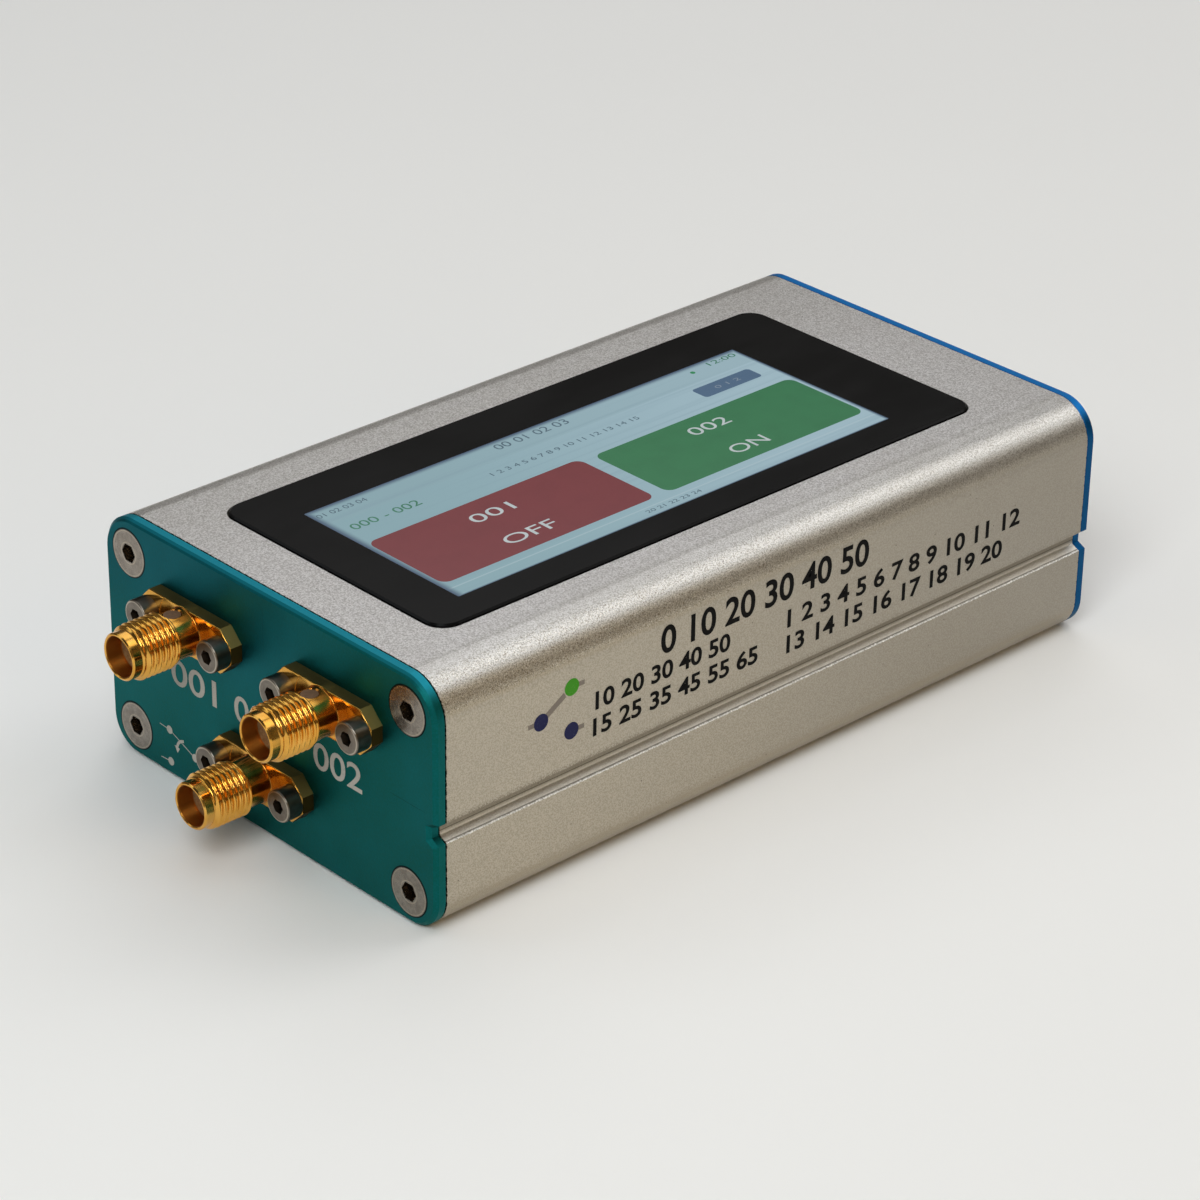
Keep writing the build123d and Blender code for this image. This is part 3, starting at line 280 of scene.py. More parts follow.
def from_plate_screw(r):
    """Offsets from the axis of the nearest plate screw, across and up."""
    _, y, z = r.axes
    across = r.minus(y, r.nearest(y, -PLATE_SCREW_Y, PLATE_SCREW_Y))
    return across, r.minus(z, r.nearest(z, PLATE_SCREW_LOW_Z, PLATE_SCREW_HIGH_Z))


def from_jack(r):
    """Offsets from the axis of the nearest jack, across and up."""
    _, y, z = r.axes
    axis_z = r.nearest(z, LOWER_JACK.z, UPPER_JACK.z)
    upper = r.band(axis_z, LOWER_JACK.z, UPPER_JACK.z)
    axis_y = r.times(upper, r.nearest(y, -UPPER_JACK.y, UPPER_JACK.y))
    return r.minus(y, axis_y), r.minus(z, axis_z)


# ---- metal finishes
#
# Plain numbers here and below are colours, amounts, and the start and end of soft steps.


def shell_faces_with_painted_light(r, bright):
    """Top and walls of the shells, with painted light. The flat top is painted lighter towards -Y. A wall is
    painted warmer than the top as a painted reflection of the warm room, darker to the rear as painted
    shade, and browner where it looks down as a painted reflection.
    """
    x, y, _ = r.axes
    flat = r.band(r.math("ABSOLUTE", y), ROUND_START, ROUND_START - 1.3)
    # painted light: the flat top lighter towards -Y
    lighter = r.times(flat, r.band(y, 22.0, 0.0, 0.3, 1.0))
    top = r.mix(bright, (0.45, 0.435, 0.41), (0.77, 0.76, 0.745))
    top = r.mix(lighter, top, r.mix(bright, (0.51, 0.495, 0.48), (0.87, 0.86, 0.855)))
    # painted reflection: the warm tone of the walls
    wall = r.mix(bright, (0.42, 0.367, 0.285), (0.565, 0.507, 0.41))
    # painted shade: a wall darker towards the rear
    wall = r.mix(r.band(x, -45.0, 50.0, 0.0, 0.5), wall, (0.225, 0.21, 0.19))
    # painted reflection: a wall browner where it looks down
    wall = r.mix(r.band(r.upward, -0.02, -0.3, 0.0, 0.5), wall, (0.33, 0.265, 0.175))
    r.color(r.mix(r.band(r.upward, 0.7, 0.05), top, wall))
    r.lay((0.42, 0.39, 0.34), r.band(r.noise(14.0, detail=3.0), 0.3, 0.7, 0.0, 0.12))


def rounded_edges(r, grain, bright):
    """The rounded long edges, with a painted brown reflection band, painted shade in the blast's dimples and
    painted glints, all fading towards the rear.
    """
    x, y, _ = r.axes
    beside = r.band(r.math("ABSOLUTE", y), ROUND_START - 0.2, ROUND_START + 0.6)
    # painted light and shade on the rounding, fading towards the rear
    rounding = r.times(beside, r.band(x, -45.0, 45.0, 1.0, 0.35))
    brown = r.mix(bright, (0.46, 0.37, 0.23), (0.66, 0.56, 0.385))
    # painted reflection: a brown band below the highlight
    r.lay(brown, r.near(r.upward, 0.43, 0.16, 0.16), rounding, 0.5)
    turn = r.times(r.near(r.upward, 0.6, 0.3, 0.09), rounding)
    # painted shade in the dimples
    r.lay((0.23, 0.18, 0.11), turn, r.band(grain, 0.5, 0.34, 0.0, 0.5))
    # painted glints
    r.lay((0.98, 0.95, 0.88), turn, r.band(r.noise(0.11, detail=1.0), 0.55, 0.63), 0.75)


def groove_painted_shade_and_seams(r, grain):
    """The groove in each side: painted light on its lower part and painted shade above, a dark line near the
    lip, a dark seam and a broken bright line along the lower lip.
    """
    x, y, z = r.axes
    side = r.math("ABSOLUTE", y)
    inside = r.band(side, HALF_WIDTH - 0.05, HALF_WIDTH - 0.2)
    hollow = r.times(r.near(z, GROOVE_MIDDLE, 1.25, 0.1), inside)
    # painted light on the lower part of the groove
    r.lay((0.86, 0.81, 0.72), hollow, r.band(z, GROOVE_MIDDLE - 0.2, GROOVE_MIDDLE - 0.7, 0.0, 0.7))
    # painted shade on the upper part of the groove
    r.lay((0.18, 0.15, 0.105), hollow, r.band(z, GROOVE_MIDDLE - 0.6, GROOVE_MIDDLE + 0.1, 0.0, 0.65))
    r.lay((0.10, 0.085, 0.06), hollow, r.near(z, GROOVE_LIP + 0.1, 0.03, 0.05), 0.8)
    # painted shade under the upper lip, fading towards the rear
    shade = r.times(r.near(z, GROOVE_UPPER_LIP - 0.2, 0.1, 0.8), r.band(x, -45.0, 20.0, 1.0, 0.3))
    r.lay((0.17, 0.14, 0.095), shade, r.band(grain, 0.56, 0.40, 0.35, 1.0), 0.75)
    r.lay((0.10, 0.085, 0.06), r.near(z, GROOVE_SEAM, 0.03, 0.07), inside, 0.75)
    broken = r.band(r.noise(0.28, detail=4.0, roughness=0.7), 0.46, 0.64)
    rim = r.band(side, HALF_WIDTH - 0.3, HALF_WIDTH - 0.1)
    r.lay((0.92, 0.90, 0.85), r.near(z, GROOVE_LIP + 0.02, 0.06, 0.06), rim, broken)


def dark_shell_ends(r):
    """A dark, uneven line along the ends of the shells, next to the plates."""
    ragged = r.band(r.noise(0.42, detail=3.0, roughness=0.65), 0.36, 0.66, 0.0, 0.15)
    end = r.math("ADD", r.math("ABSOLUTE", r.axes[0]), ragged)
    upright = r.band(r.math("ABSOLUTE", r.upward), 0.9, 0.5, 0.55, 0.93)
    r.lay((0.035, 0.03, 0.022), r.band(end, SHELL_END + 0.03, SHELL_END + 0.08), upright)


def silver_anodised(name):
    """Bead-blasted, clear anodised aluminium: fine dimples, dark specks, a bright line along each groove's
    lip and dark shell ends, with painted light and shade on its faces, rounded edges and groove.
    """
    r = Recipe(name, Metallic=1.0)
    grain = r.noise(0.17, roughness=0.6)
    # the grain's colour contrast is partly the blast's own grain and partly painted glints
    bright = r.band(grain, 0.36, 0.64)
    shell_faces_with_painted_light(r, bright)
    rounded_edges(r, grain, bright)
    r.lay((0.09, 0.075, 0.06), r.speckle(1.1, 0.22, 0.09), 0.75)
    r.lay((0.16, 0.13, 0.10), r.speckle(0.75, 0.3, 0.09), 0.35)
    groove_painted_shade_and_seams(r, grain)
    dark_shell_ends(r)
    r.roughness(grain, 0.2, 0.8, 0.32, 0.42)
    r.bump(grain, 0.035)
    return r


def anodised_plate(name, face, top, low_edge):
    """Dyed anodised plate with a finer blast. Its colour carries painted reflection: bluer to the upper left
    and on what looks up, and another tint on what looks down.
    """
    r = Recipe(name, face, Metallic=1.0, Specular_Tint=(0.74, 0.94, 1.0, 1.0))
    grain = r.noise(0.22, roughness=0.6)
    x, y, z = r.axes
    # painted reflection: the face bluer towards its upper left
    bluer = (face[0], face[1] * 0.80, face[2] * 1.08)
    r.lay(bluer, r.band(z, 10.0, 26.0), r.band(y, -22.0, 10.0, 0.1, 0.9))
    r.lay(top, r.band(r.noise(9.0, detail=3.0), 0.3, 0.75, 0.0, 0.1))
    # painted reflection: another tint where the plate looks down
    r.lay(low_edge, r.band(r.upward, -0.1, -0.6))
    # painted reflection: bluer on the upward bevels and top strip
    off_face = r.band(r.math("ABSOLUTE", x), PLATE_REACH - 0.17, PLATE_REACH - 0.25)
    r.lay(top, r.band(r.upward, 0.45, 0.98), r.band(z, 14.0, 20.0), off_face)
    r.lay(top, r.band(grain, 0.35, 0.75, 0.0, 0.12))
    r.lay((0.004, 0.02, 0.02), r.speckle(2.6, 0.12, 0.05), 0.8)
    # painted shadow: a dark crescent in the gap round each screw, off to the upper right
    across, up = from_plate_screw(r)
    gap = r.reach(r.math("ADD", across, 0.06), r.minus(up, 0.07))
    r.lay((0.0004, 0.002, 0.002), r.band(gap, PLATE_SCREW_RADIUS + 0.15, PLATE_SCREW_RADIUS + 0.09), 0.95)
    r.lay((0.30, 0.42, 0.45), r.speckle(3.4, 0.06, 0.03), 0.25)
    r.roughness(grain, 0.2, 0.8, 0.42, 0.52)
    r.bump(grain, 0.012)
    return r


def gold(name):
    """Polished gold plate over turned brass, with rougher milled edges that carry a painted dark reflection,
    and painted shade by the flange and in the bore.
    """
    r = Recipe(name, Metallic=1.0)
    patches = r.noise(2.2, detail=3.0, roughness=0.6)
    x = r.axes[0]
    across, up = from_jack(r)
    radius = r.reach(across, up)
    r.color(r.mix(r.band(patches, 0.35, 0.7), (0.74, 0.37, 0.06), (0.84, 0.46, 0.10)))
    r.lay((0.35, 0.17, 0.04), r.speckle(1.3, 0.12, 0.05), 0.5)
    neck = r.band(radius, NECK_RADIUS + 0.3, NECK_RADIUS + 0.25)
    # painted shade on the neck, next to the flange
    neck_base_shade = r.band(x, FLANGE_FACE - 2.6, FLANGE_FACE - 1.2)
    r.lay((0.38, 0.13, 0.016), neck_base_shade, r.band(x, FLANGE_FACE, FLANGE_FACE - 0.02), neck, 0.85)
    # painted dark reflection on the flange's sides, paler on those that look up
    edge = r.band(x, FLANGE_FACE + 0.06, FLANGE_FACE + 0.14)
    r.lay(r.mix(r.band(r.upward, 0.3, 0.85), (0.05, 0.035, 0.009), (0.15, 0.12, 0.04)), edge)
    # painted shade in the bore
    bore = r.band(radius, BORE_RADIUS + 0.07, BORE_RADIUS + 0.03)
    r.lay((0.37, 0.13, 0.019), bore)
    shine = r.mix(edge, r.band(patches, 0.3, 0.7, 0.15, 0.20), r.band(patches, 0.3, 0.7, 0.5, 0.6))
    r.roughness(r.mix(bore, shine, (0.45, 0.45, 0.45)))
    r.turned(across, up, 0.75)
    return r


def gold_contact(name):
    """Gold-plated contacts with fine lines round them."""
    r = Recipe(name, Metallic=1.0)
    lines = r.noise(0.05, along=(1.0, 0.01, 0.01))
    r.bump(lines, 0.001)
    r.color(r.mix(r.noise(0.8), (0.75, 0.36, 0.07), (0.88, 0.50, 0.14)))
    r.roughness(lines, 0.3, 0.7, 0.2, 0.3)
    return r


SCREW_SHADE = (0.055, 0.043, 0.030)
# painted shadow colour for the gap round a plate screw
SCREW_GAP_SHADOW = (0.008, 0.007, 0.006)


def stainless(name):
    """The start of both screw finishes: dull stainless steel with small dark pits."""
    r = Recipe(name, Metallic=1.0)
    patches = r.noise(0.8, detail=3.0, roughness=0.6)
    r.color(r.mix(r.band(patches, 0.3, 0.7), (0.23, 0.20, 0.17), (0.32, 0.285, 0.245)))
    r.lay((0.10, 0.085, 0.07), r.speckle(0.5, 0.12, 0.1), 0.4)
    r.bump(patches, 0.0015)
    return r


def plate_screws(name):
    """Turned faces of the plate screws: painted highlights on the edge and round the socket's opening, a
    painted shadow in the gap round the head and painted shade deep in the socket.
    """
    r = stainless(name)
    across, up = from_plate_screw(r)
    radius = r.reach(across, up)
    depth = r.minus(PLATE_REACH, r.math("ABSOLUTE", r.axes[0]))
    # painted highlights on the head's edge and round the socket's opening
    edge = r.near(radius, PLATE_SCREW_RADIUS - 0.2, 0.03, 0.05)
    opening_highlight = r.near(radius, PLATE_SOCKET_RADIUS + 0.06, 0.04, 0.06)
    r.lay((0.55, 0.47, 0.36), r.math("MAXIMUM", edge, opening_highlight), 0.5)
    # painted shadow in the gap round the head
    r.lay(SCREW_GAP_SHADOW, r.band(radius, PLATE_SCREW_RADIUS - 0.09, PLATE_SCREW_RADIUS - 0.04))
    wall = r.times(r.band(radius, PLATE_SOCKET_RADIUS + 0.04, PLATE_SOCKET_RADIUS), r.band(depth, 0.05, 0.2))
    r.lay((0.36, 0.28, 0.19), wall)
    # painted shade deep in the socket
    r.lay(SCREW_SHADE, wall, r.band(depth, 0.5, 1.2))
    r.roughness(r.noise(0.3), 0.3, 0.7, 0.22, 0.28)
    r.turned(across, up, 0.5)
    return r


def cap_screws(name):
    """Small cap screws of the jacks: painted highlights on their rims, painted shade on their sides and in
    their sockets.
    """
    r = stainless(name)
    r.lay((0.10, 0.082, 0.06), 0.45)
    across, up = from_jack(r)
    across = r.minus(across, r.nearest(across, -CAP_SCREW_Y, CAP_SCREW_Y))
    radius = r.reach(across, up)
    depth = r.minus(r.axes[0], CAP_SCREW_TOP)
    # painted highlight on the rim
    rim = r.near(radius, CAP_SCREW_RADIUS - 0.17, 0.05, 0.05)
    r.lay((0.66, 0.59, 0.48), rim, r.band(depth, 0.25, 0.15), 0.6)
    # painted shade on the sides
    shaded_side = r.band(radius, CAP_SCREW_RADIUS - 0.05, CAP_SCREW_RADIUS - 0.01)
    r.lay((0.07, 0.065, 0.055), shaded_side, r.band(depth, 0.1, 0.2), 0.7)
    socket = r.times(r.band(radius, CAP_SOCKET_RADIUS + 0.06, CAP_SOCKET_RADIUS), r.band(depth, 0.03, 0.15))
    r.lay((0.22, 0.17, 0.12), socket)
    # painted shade deep in the socket
    r.lay(SCREW_SHADE, socket, r.band(depth, 0.45, 0.95))
    r.roughness(r.noise(0.3, detail=3.0), 0.3, 0.7, 0.30, 0.36)
    r.turned(across, up, 0.5)
    return r


def plain_metal(name, color, rough, grain):
    """A metal with darker patches and a slight grain."""
    r = Recipe(name, Metallic=1.0)
    field = r.noise(grain, detail=3.0, roughness=0.6)
    dark = tuple(channel * 0.8 for channel in color)
    r.color(r.mix(r.band(field, 0.3, 0.7), dark, color))
    r.roughness(field, 0.2, 0.8, rough - 0.06, rough + 0.08)
    r.bump(field, 0.003)
    return r


def tinned_steel(name):
    """Bright tin with faint rolling lines and finger-dull patches."""
    r = Recipe(name, Metallic=1.0)
    patches = r.noise(4.0, detail=3.0)
    r.color(r.mix(r.band(patches, 0.35, 0.7), (0.58, 0.58, 0.57), (0.74, 0.74, 0.72)))
    r.roughness(patches, 0.3, 0.7, 0.22, 0.36)
    r.bump(r.noise(0.12, along=(0.05, 1.0, 1.0)), 0.002)
    return r


def capacitor_can(name):
    """Drawn aluminium can with drawing lines and a dark band down one side."""
    r = Recipe(name, (0.70, 0.70, 0.71), Metallic=1.0)
    _, y, z = r.axes
    can_high = corners("bulk_capacitors")[1]
    stripe = r.times(r.band(y, can_high.y - 1.2, can_high.y - 0.8), r.band(z, can_high.z, can_high.z - 0.4))
    r.lay((0.03, 0.03, 0.035), stripe, 0.85)
    lines = r.noise(0.2, along=(1.0, 1.0, 0.05))
    r.roughness(lines, 0.3, 0.7, 0.22, 0.34)
    r.bump(lines, 0.003)
    return r


# ---- plastics and the rest


def moulded(name, color, rough, grain, depth=0.006):
    """Moulded plastic: a fine spark texture, slight flow marks and a few pale dust grains."""
    r = Recipe(name, color)
    field = r.noise(grain, detail=3.0, roughness=0.6)
    light = tuple(min(1.0, channel * 1.25 + 0.01) for channel in color)
    r.lay(light, r.band(r.noise(grain * 14.0), 0.3, 0.7))
    r.lay((0.6, 0.58, 0.55), r.speckle(grain * 4.0, 0.08, 0.05), 0.5)
    r.roughness(field, 0.2, 0.8, rough - 0.08, rough + 0.08)
    r.bump(field, depth)
    return r


def ptfe(name):
    """Waxy white insulator, painted dark brown as a painted reflection of the gold round it and painted
    shade in the bore, with faint turning marks.
    """
    r = Recipe(name, Subsurface_Weight=0.2, Subsurface_Scale=0.0006)
    haze = r.noise(0.25, detail=3.0)
    # painted reflection and shade: the white insulator coloured dark brown
    r.color(r.mix(r.band(haze, 0.3, 0.75), (0.20, 0.105, 0.04), (0.32, 0.195, 0.09)))
    r.bump(r.noise(0.12), 0.003)
    return r


def resin(name):
    """Cured epoxy in the neck of a jack: a brownish grey skin with a slight wrinkle."""
    r = Recipe(name, Coat_Weight=0.15, Coat_Roughness=0.3)
    field = r.noise(0.35, detail=3.0)
    r.color(r.mix(field, (0.075, 0.038, 0.018), (0.20, 0.105, 0.05)))
    r.bump(field, 0.02)
    return r


def cover_glass(name):
    """Black-backed glass with a satin hard coat, faint wipe marks and a little dust."""
    r = Recipe(name, IOR=1.45, Specular_IOR_Level=0.09)
    wipe = r.noise(5.0, detail=4.0, along=(0.35, 1.0, 1.0), distortion=0.6)
    r.color(r.mix(r.band(wipe, 0.35, 0.8), (0.0036, 0.0036, 0.0037), (0.0048, 0.0048, 0.0050)))
    r.lay((0.35, 0.34, 0.33), r.speckle(3.0, 0.10, 0.022), 0.55)
    r.roughness(wipe, 0.3, 0.75, 0.21, 0.26)
    r.bump(r.noise(0.2), 0.0006)
    return r


def laminate(name, mask, trace):
    """Solder mask over copper tracks, with plated holes."""
    r = Recipe(name, mask, Roughness=0.35, Coat_Weight=0.3, Coat_Roughness=0.25)
    x, y, _ = r.axes
    chooser = r.band(r.cells(5.5, "Color"), 0.45, 0.5)
    tracks = r.mix(chooser, r.stripes(y, 0.48, 0.09, 0.03), r.stripes(x, 0.62, 0.11, 0.03))
    r.lay(trace, tracks)
    r.lay((0.75, 0.62, 0.35), r.speckle(2.4, 0.35, 0.12))
    r.roughness(r.noise(2.0), 0.3, 0.7, 0.28, 0.42)
    r.bump(tracks, 0.03)
    return r


def foam(name):
    """Closed-cell foam: open skin with small round cells."""
    r = Recipe(name, Roughness=0.95)
    cells = r.cells(0.45)
    r.color(r.mix(r.band(cells, 0.2, 0.7), (0.014, 0.014, 0.015), (0.05, 0.05, 0.052)))
    r.bump(cells, 0.12)
    return r


def clear_film(name):
    """Sensor film with its pale grid of electrodes."""
    r = Recipe(name, (0.30, 0.32, 0.33), Roughness=0.15, Coat_Weight=0.5)
    columns, rows = (r.stripes(axis, 0.25, 0.03, 0.01) for axis in r.axes[:2])
    r.lay((0.45, 0.48, 0.50), r.math("MAXIMUM", columns, rows))
    return r


def lcd_glass(name):
    """Dark display glass with the faint mesh of its cells."""
    r = Recipe(name, Roughness=0.12, Coat_Weight=0.6)
    mesh = r.stripes(r.axes[0], 3.0, 0.08, 0.04)
    r.color(r.mix(mesh, (0.018, 0.02, 0.024), (0.03, 0.034, 0.042)))
    r.bump(mesh, 0.002)
    return r


def acrylic(name):
    """Light guide with its printed dots, which grow away from the lamp end."""
    r = Recipe(name, Roughness=0.1, Coat_Weight=0.5)
    dot = r.band(r.cells(0.9), 0.4, 0.25)
    spread = r.band(r.axes[0], -36.0, 34.0, 0.2, 0.9)
    r.color(r.mix(r.times(dot, spread), (0.72, 0.76, 0.78), (0.95, 0.96, 0.96)))
    return r


def conductor_strip(name, skin, line, pitch):
    """A flat flexible strip with parallel conductors."""
    r = Recipe(name, skin, Roughness=0.35, Coat_Weight=0.3)
    lanes = r.stripes(r.axes[1], 1.0 / pitch, 0.22, 0.06)
    r.lay(line, lanes)
    r.bump(lanes, 0.03)
    return r


def led_lens(name):
    """Diffuse lens, amber in one corner and green in the other."""
    r = Recipe(name, Roughness=0.25, Coat_Weight=0.5, Subsurface_Weight=0.2)
    haze = r.noise(0.5)
    r.color(r.mix(r.band(r.axes[1], -0.5, 0.5), (0.16, 0.42, 0.06), (0.62, 0.36, 0.05)))
    r.lay((0.75, 0.75, 0.6), haze, 0.3)
    r.bump(haze, 0.01)
    return r


def winding_tape(name):
    """Yellow polyester tape over the winding, with its lap lines."""
    r = Recipe(name, (0.72, 0.52, 0.06), Roughness=0.3, Coat_Weight=0.4)
    _, y, z = r.axes
    laps = r.stripes(r.math("ADD", y, z), 0.35, 0.04, 0.02)
    r.lay((0.5, 0.34, 0.03), laps)
    r.bump(r.math("ADD", laps, r.noise(1.0)), 0.03)
    return r


def ferrite(name):
    """Sintered ferrite: dark, matt and pitted."""
    r = Recipe(name, Roughness=0.7)
    field = r.noise(0.8, detail=4.0)
    r.color(r.mix(field, (0.03, 0.03, 0.031), (0.075, 0.073, 0.075)))
    r.bump(r.cells(0.5), 0.02)
    r.roughness(field, 0.3, 0.7, 0.6, 0.8)
    return r


# each finish by its material slot: the function that makes it and what that takes after the name
FINISHES = {finish.__name__: (finish,) for finish in (
    silver_anodised, gold, gold_contact, tinned_steel, capacitor_can, ptfe, resin, cover_glass,
    clear_film, lcd_glass, acrylic, foam, led_lens, winding_tape, ferrite,
)}
FINISHES |= {
    # after the face colour: the tint for what looks up, which also gives painted reflection, and the painted
    # reflection tint for what looks down
    "teal_anodised": (anodised_plate, (0.0045, 0.106, 0.092), (0.018, 0.29, 0.38), (0.006, 0.115, 0.095)),
    "blue_anodised": (anodised_plate, (0.004, 0.07, 0.19), (0.016, 0.20, 0.56), (0.003, 0.05, 0.12)),
    "stainless": (plate_screws,),
    "stainless_cap": (cap_screws,),
    "brass_spacer": (plain_metal, (0.78, 0.52, 0.20), 0.3, 0.3),
    "nickel": (plain_metal, (0.62, 0.59, 0.53), 0.28, 0.4),
    "board_laminate": (laminate, (0.006, 0.045, 0.022), (0.012, 0.085, 0.04)),
    "module_laminate": (laminate, (0.008, 0.009, 0.011), (0.02, 0.022, 0.026)),
    "polyimide": (conductor_strip, (0.42, 0.16, 0.03), (0.62, 0.34, 0.10), 0.8),
    "ribbon": (conductor_strip, (0.78, 0.79, 0.80), (0.52, 0.53, 0.55), 0.5),
    "chip_black": (moulded, (0.018, 0.018, 0.019), 0.55, 0.12, 0.004),
    "chip_ceramic": (moulded, (0.42, 0.30, 0.19), 0.5, 0.15, 0.004),
    "header_plastic": (moulded, (0.016, 0.016, 0.017), 0.5, 0.25),
    "connector_plastic": (moulded, (0.62, 0.56, 0.42), 0.45, 0.3),
    "jack_plastic": (moulded, (0.014, 0.014, 0.015), 0.42, 0.35, 0.008),
    "plunger_plastic": (moulded, (0.55, 0.53, 0.48), 0.42, 0.2),
    "adhesive_tape": (moulded, (0.02, 0.02, 0.021), 0.7, 0.3, 0.01),
}
NODE_FINISHES = {"sma_flange_screws": "stainless_cap"}


def dress_nodes():
    """Gives every CAD node its finish, by the material slot that it carries."""
    made = {}
    for node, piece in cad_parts.items():
        for place in piece.material_slots:
            name = NODE_FINISHES.get(node, place.material.name)
            if name not in made:
                finish, *values = FINISHES[name]
                made[name] = finish(name, *values)
            place.material = made[name].material
    return made


# ---- new pieces


def add_piece(name, mesh, finish):
    """A new piece of the case, with one finish."""
    piece = placed(name, mesh)
    mesh.materials.clear()
    mesh.materials.append(finish.material)
    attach(piece, CASE)
    return piece


def as_mesh(name, net):
    """A mesh from a closed bmesh, which is used up. Its faces are turned to look out."""
    bmesh.ops.recalc_face_normals(net, faces=net.faces)
    mesh = bpy.data.meshes.new(name)
    net.to_mesh(mesh)
    net.free()
    return mesh


def add_walls(net, near, far):
    """Faces between two closed rows of as many points."""
    for index, corner in enumerate(near):
        after = (index + 1) % len(near)
        net.faces.new((corner, near[after], far[after], far[index]))


class Face:
    """A face that carries prints: its axes as its reader sees them, and where it rounds off above."""

    def __init__(self, origin, across, up, round_start=math.inf, round_radius=1.0):
        self.origin = Vector(origin)
        self.across = Vector(across)
        self.up = Vector(up)
        self.out = self.across.cross(self.up)
        self.round_start = round_start
        self.round_radius = round_radius

    def point(self, right, high, proud):
        past = max(0.0, high - self.round_start)
        proud -= self.round_radius - math.sqrt(self.round_radius ** 2 - past ** 2)
        return (self.origin + self.across * right + self.up * high + self.out * proud) * MM


PLATE = Face((FRONT_FACE, 0, 0), (0, -1, 0), (0, 0, 1))  # right is -Y, high is Z
SIDE = Face((0, -HALF_WIDTH, 0), (1, 0, 0), (0, 0, 1), CASE_TOP - TOP_EDGE_RADIUS, TOP_EDGE_RADIUS)
SCREEN = Face((0, 0, GLASS_TOP), (1, 0, 0), (0, 1, 0))  # right is X, high is Y


def slab(shapes, face, low, high):
    """A mesh of thin closed prisms, one for each outline of (right, high) points."""
    net = bmesh.new()
    for outline in shapes:
        under = [net.verts.new(face.point(*point, low)) for point in outline]
        over = [net.verts.new(face.point(*point, high)) for point in outline]
        net.faces.new(over)
        net.faces.new(under[::-1])
        add_walls(net, under, over)
    return as_mesh("slab", net)


CLOSE_POINTS = 0.004  # points of a letter nearer than this become one, in letter sizes


def lettering(body, face, left, base, width, height, low, high, weight=0.0):
    """Digits or plain words as one closed mesh, fitted to that width and capital height."""
    curve = bpy.data.curves.new("lettering", "FONT")
    curve.body = body
    curve.offset = weight
    curve.extrude = 0.5
    curve.resolution_u = 5
    holder = placed("lettering", curve)
    bpy.context.view_layer.update()
    mesh = bpy.data.meshes.new_from_object(holder)
    bpy.data.objects.remove(holder)
    bpy.data.curves.remove(curve)
    net = bmesh.new()
    net.from_mesh(mesh)
    bmesh.ops.remove_doubles(net, verts=net.verts, dist=CLOSE_POINTS)
    bmesh.ops.dissolve_degenerate(net, edges=net.edges, dist=CLOSE_POINTS / 10)
    bmesh.ops.recalc_face_normals(net, faces=net.faces)
    net.to_mesh(mesh)
    net.free()
    rights = [vertex.co.x for vertex in mesh.vertices]
    highs = [vertex.co.y for vertex in mesh.vertices]
    start, floor = min(rights), min(highs)
    stretch = width / (max(rights) - start)
    rise = height / (max(highs) - floor)
    for vertex in mesh.vertices:
        right = left + (vertex.co.x - start) * stretch
        up = base + (vertex.co.y - floor) * rise
        proud = high if vertex.co.z > 0 else low
        vertex.co = face.point(right, up, proud)
    return mesh


def joined(meshes):
    """One mesh from several."""
    net = bmesh.new()
    for mesh in meshes:
        net.from_mesh(mesh)
        bpy.data.meshes.remove(mesh)
    return as_mesh("joined", net)


def around(middle, radius, turn):
    """The point at that distance and angle from the middle."""
    return (middle[0] + radius * math.cos(turn), middle[1] + radius * math.sin(turn))


def arc(middle, radius, start, end, count):
    """Points of an arc from one angle to another, both included."""
    turns = [start + (end - start) * index / count for index in range(count + 1)]
    return [around(middle, radius, turn) for turn in turns]


def disc(right, high, radius):
    """Outline of a round dot."""
    return arc((right, high), radius, 0.0, math.tau, 28)[:-1]


def bar(start, end, width):
    """Outline of a straight line of that width."""
    start, end = Vector(start), Vector(end)
    side = (end - start).orthogonal().normalized() * width / 2
    return [tuple(corner) for corner in (start - side, end - side, end + side, start + side)]


def rounded(left, right, low, high, radius):
    """Outline of a box with round corners."""
    east, west, north, south = right - radius, left + radius, high - radius, low + radius
    outline = []
    for quarter, middle in enumerate(((east, north), (west, north), (west, south), (east, south))):
        start = math.pi / 2 * quarter
        outline += arc(middle, radius, start, start + math.pi / 2, 8)
    return outline


def curved_arrow(middle, radius, start, end, width, head):
    """Outline of an arc that runs anticlockwise between two angles, with an arrowhead at its end."""
    outer = arc(middle, radius + width / 2, start, end, 14)
    inner = arc(middle, radius - width / 2, start, end, 14)
    barbs = [
        around(middle, radius + head * 0.6, end),
        around(middle, radius, end + head / radius),
        around(middle, radius - head * 0.6, end),
    ]
    return outer + barbs + inner[::-1]


# ---- prints on the case

INK_PROUD = 0.02
INK_SINK = 0.02
DIGIT_SINK = 0.03  # deeper, because the tallest digits of the side run onto its rounded edge


def ink(name, color, worn, rough, gloss=0.15):
    """Screen-printed ink: an uneven film with tiny pinholes and a soft gloss."""
    r = Recipe(name, color, Roughness=rough, Specular_IOR_Level=gloss)
    field = r.noise(0.3, detail=3.0, roughness=0.6)
    r.lay(worn, r.band(field, 0.55, 0.8))
    r.lay(worn, r.speckle(0.4, 0.15, 0.12), 0.6)
    r.roughness(field, 0.2, 0.8, rough - 0.08, rough + 0.1)
    r.bump(field, 0.006)
    return r


LEGEND_HEIGHT = 3.25
LEGEND_BASE = 12.2
LEGENDS = (("001", -16.3), ("000", -5.3), ("002", 8.0))  # text and its left end
LEGEND_WIDTH = 7.9
LEGEND_WEIGHT = 0.010

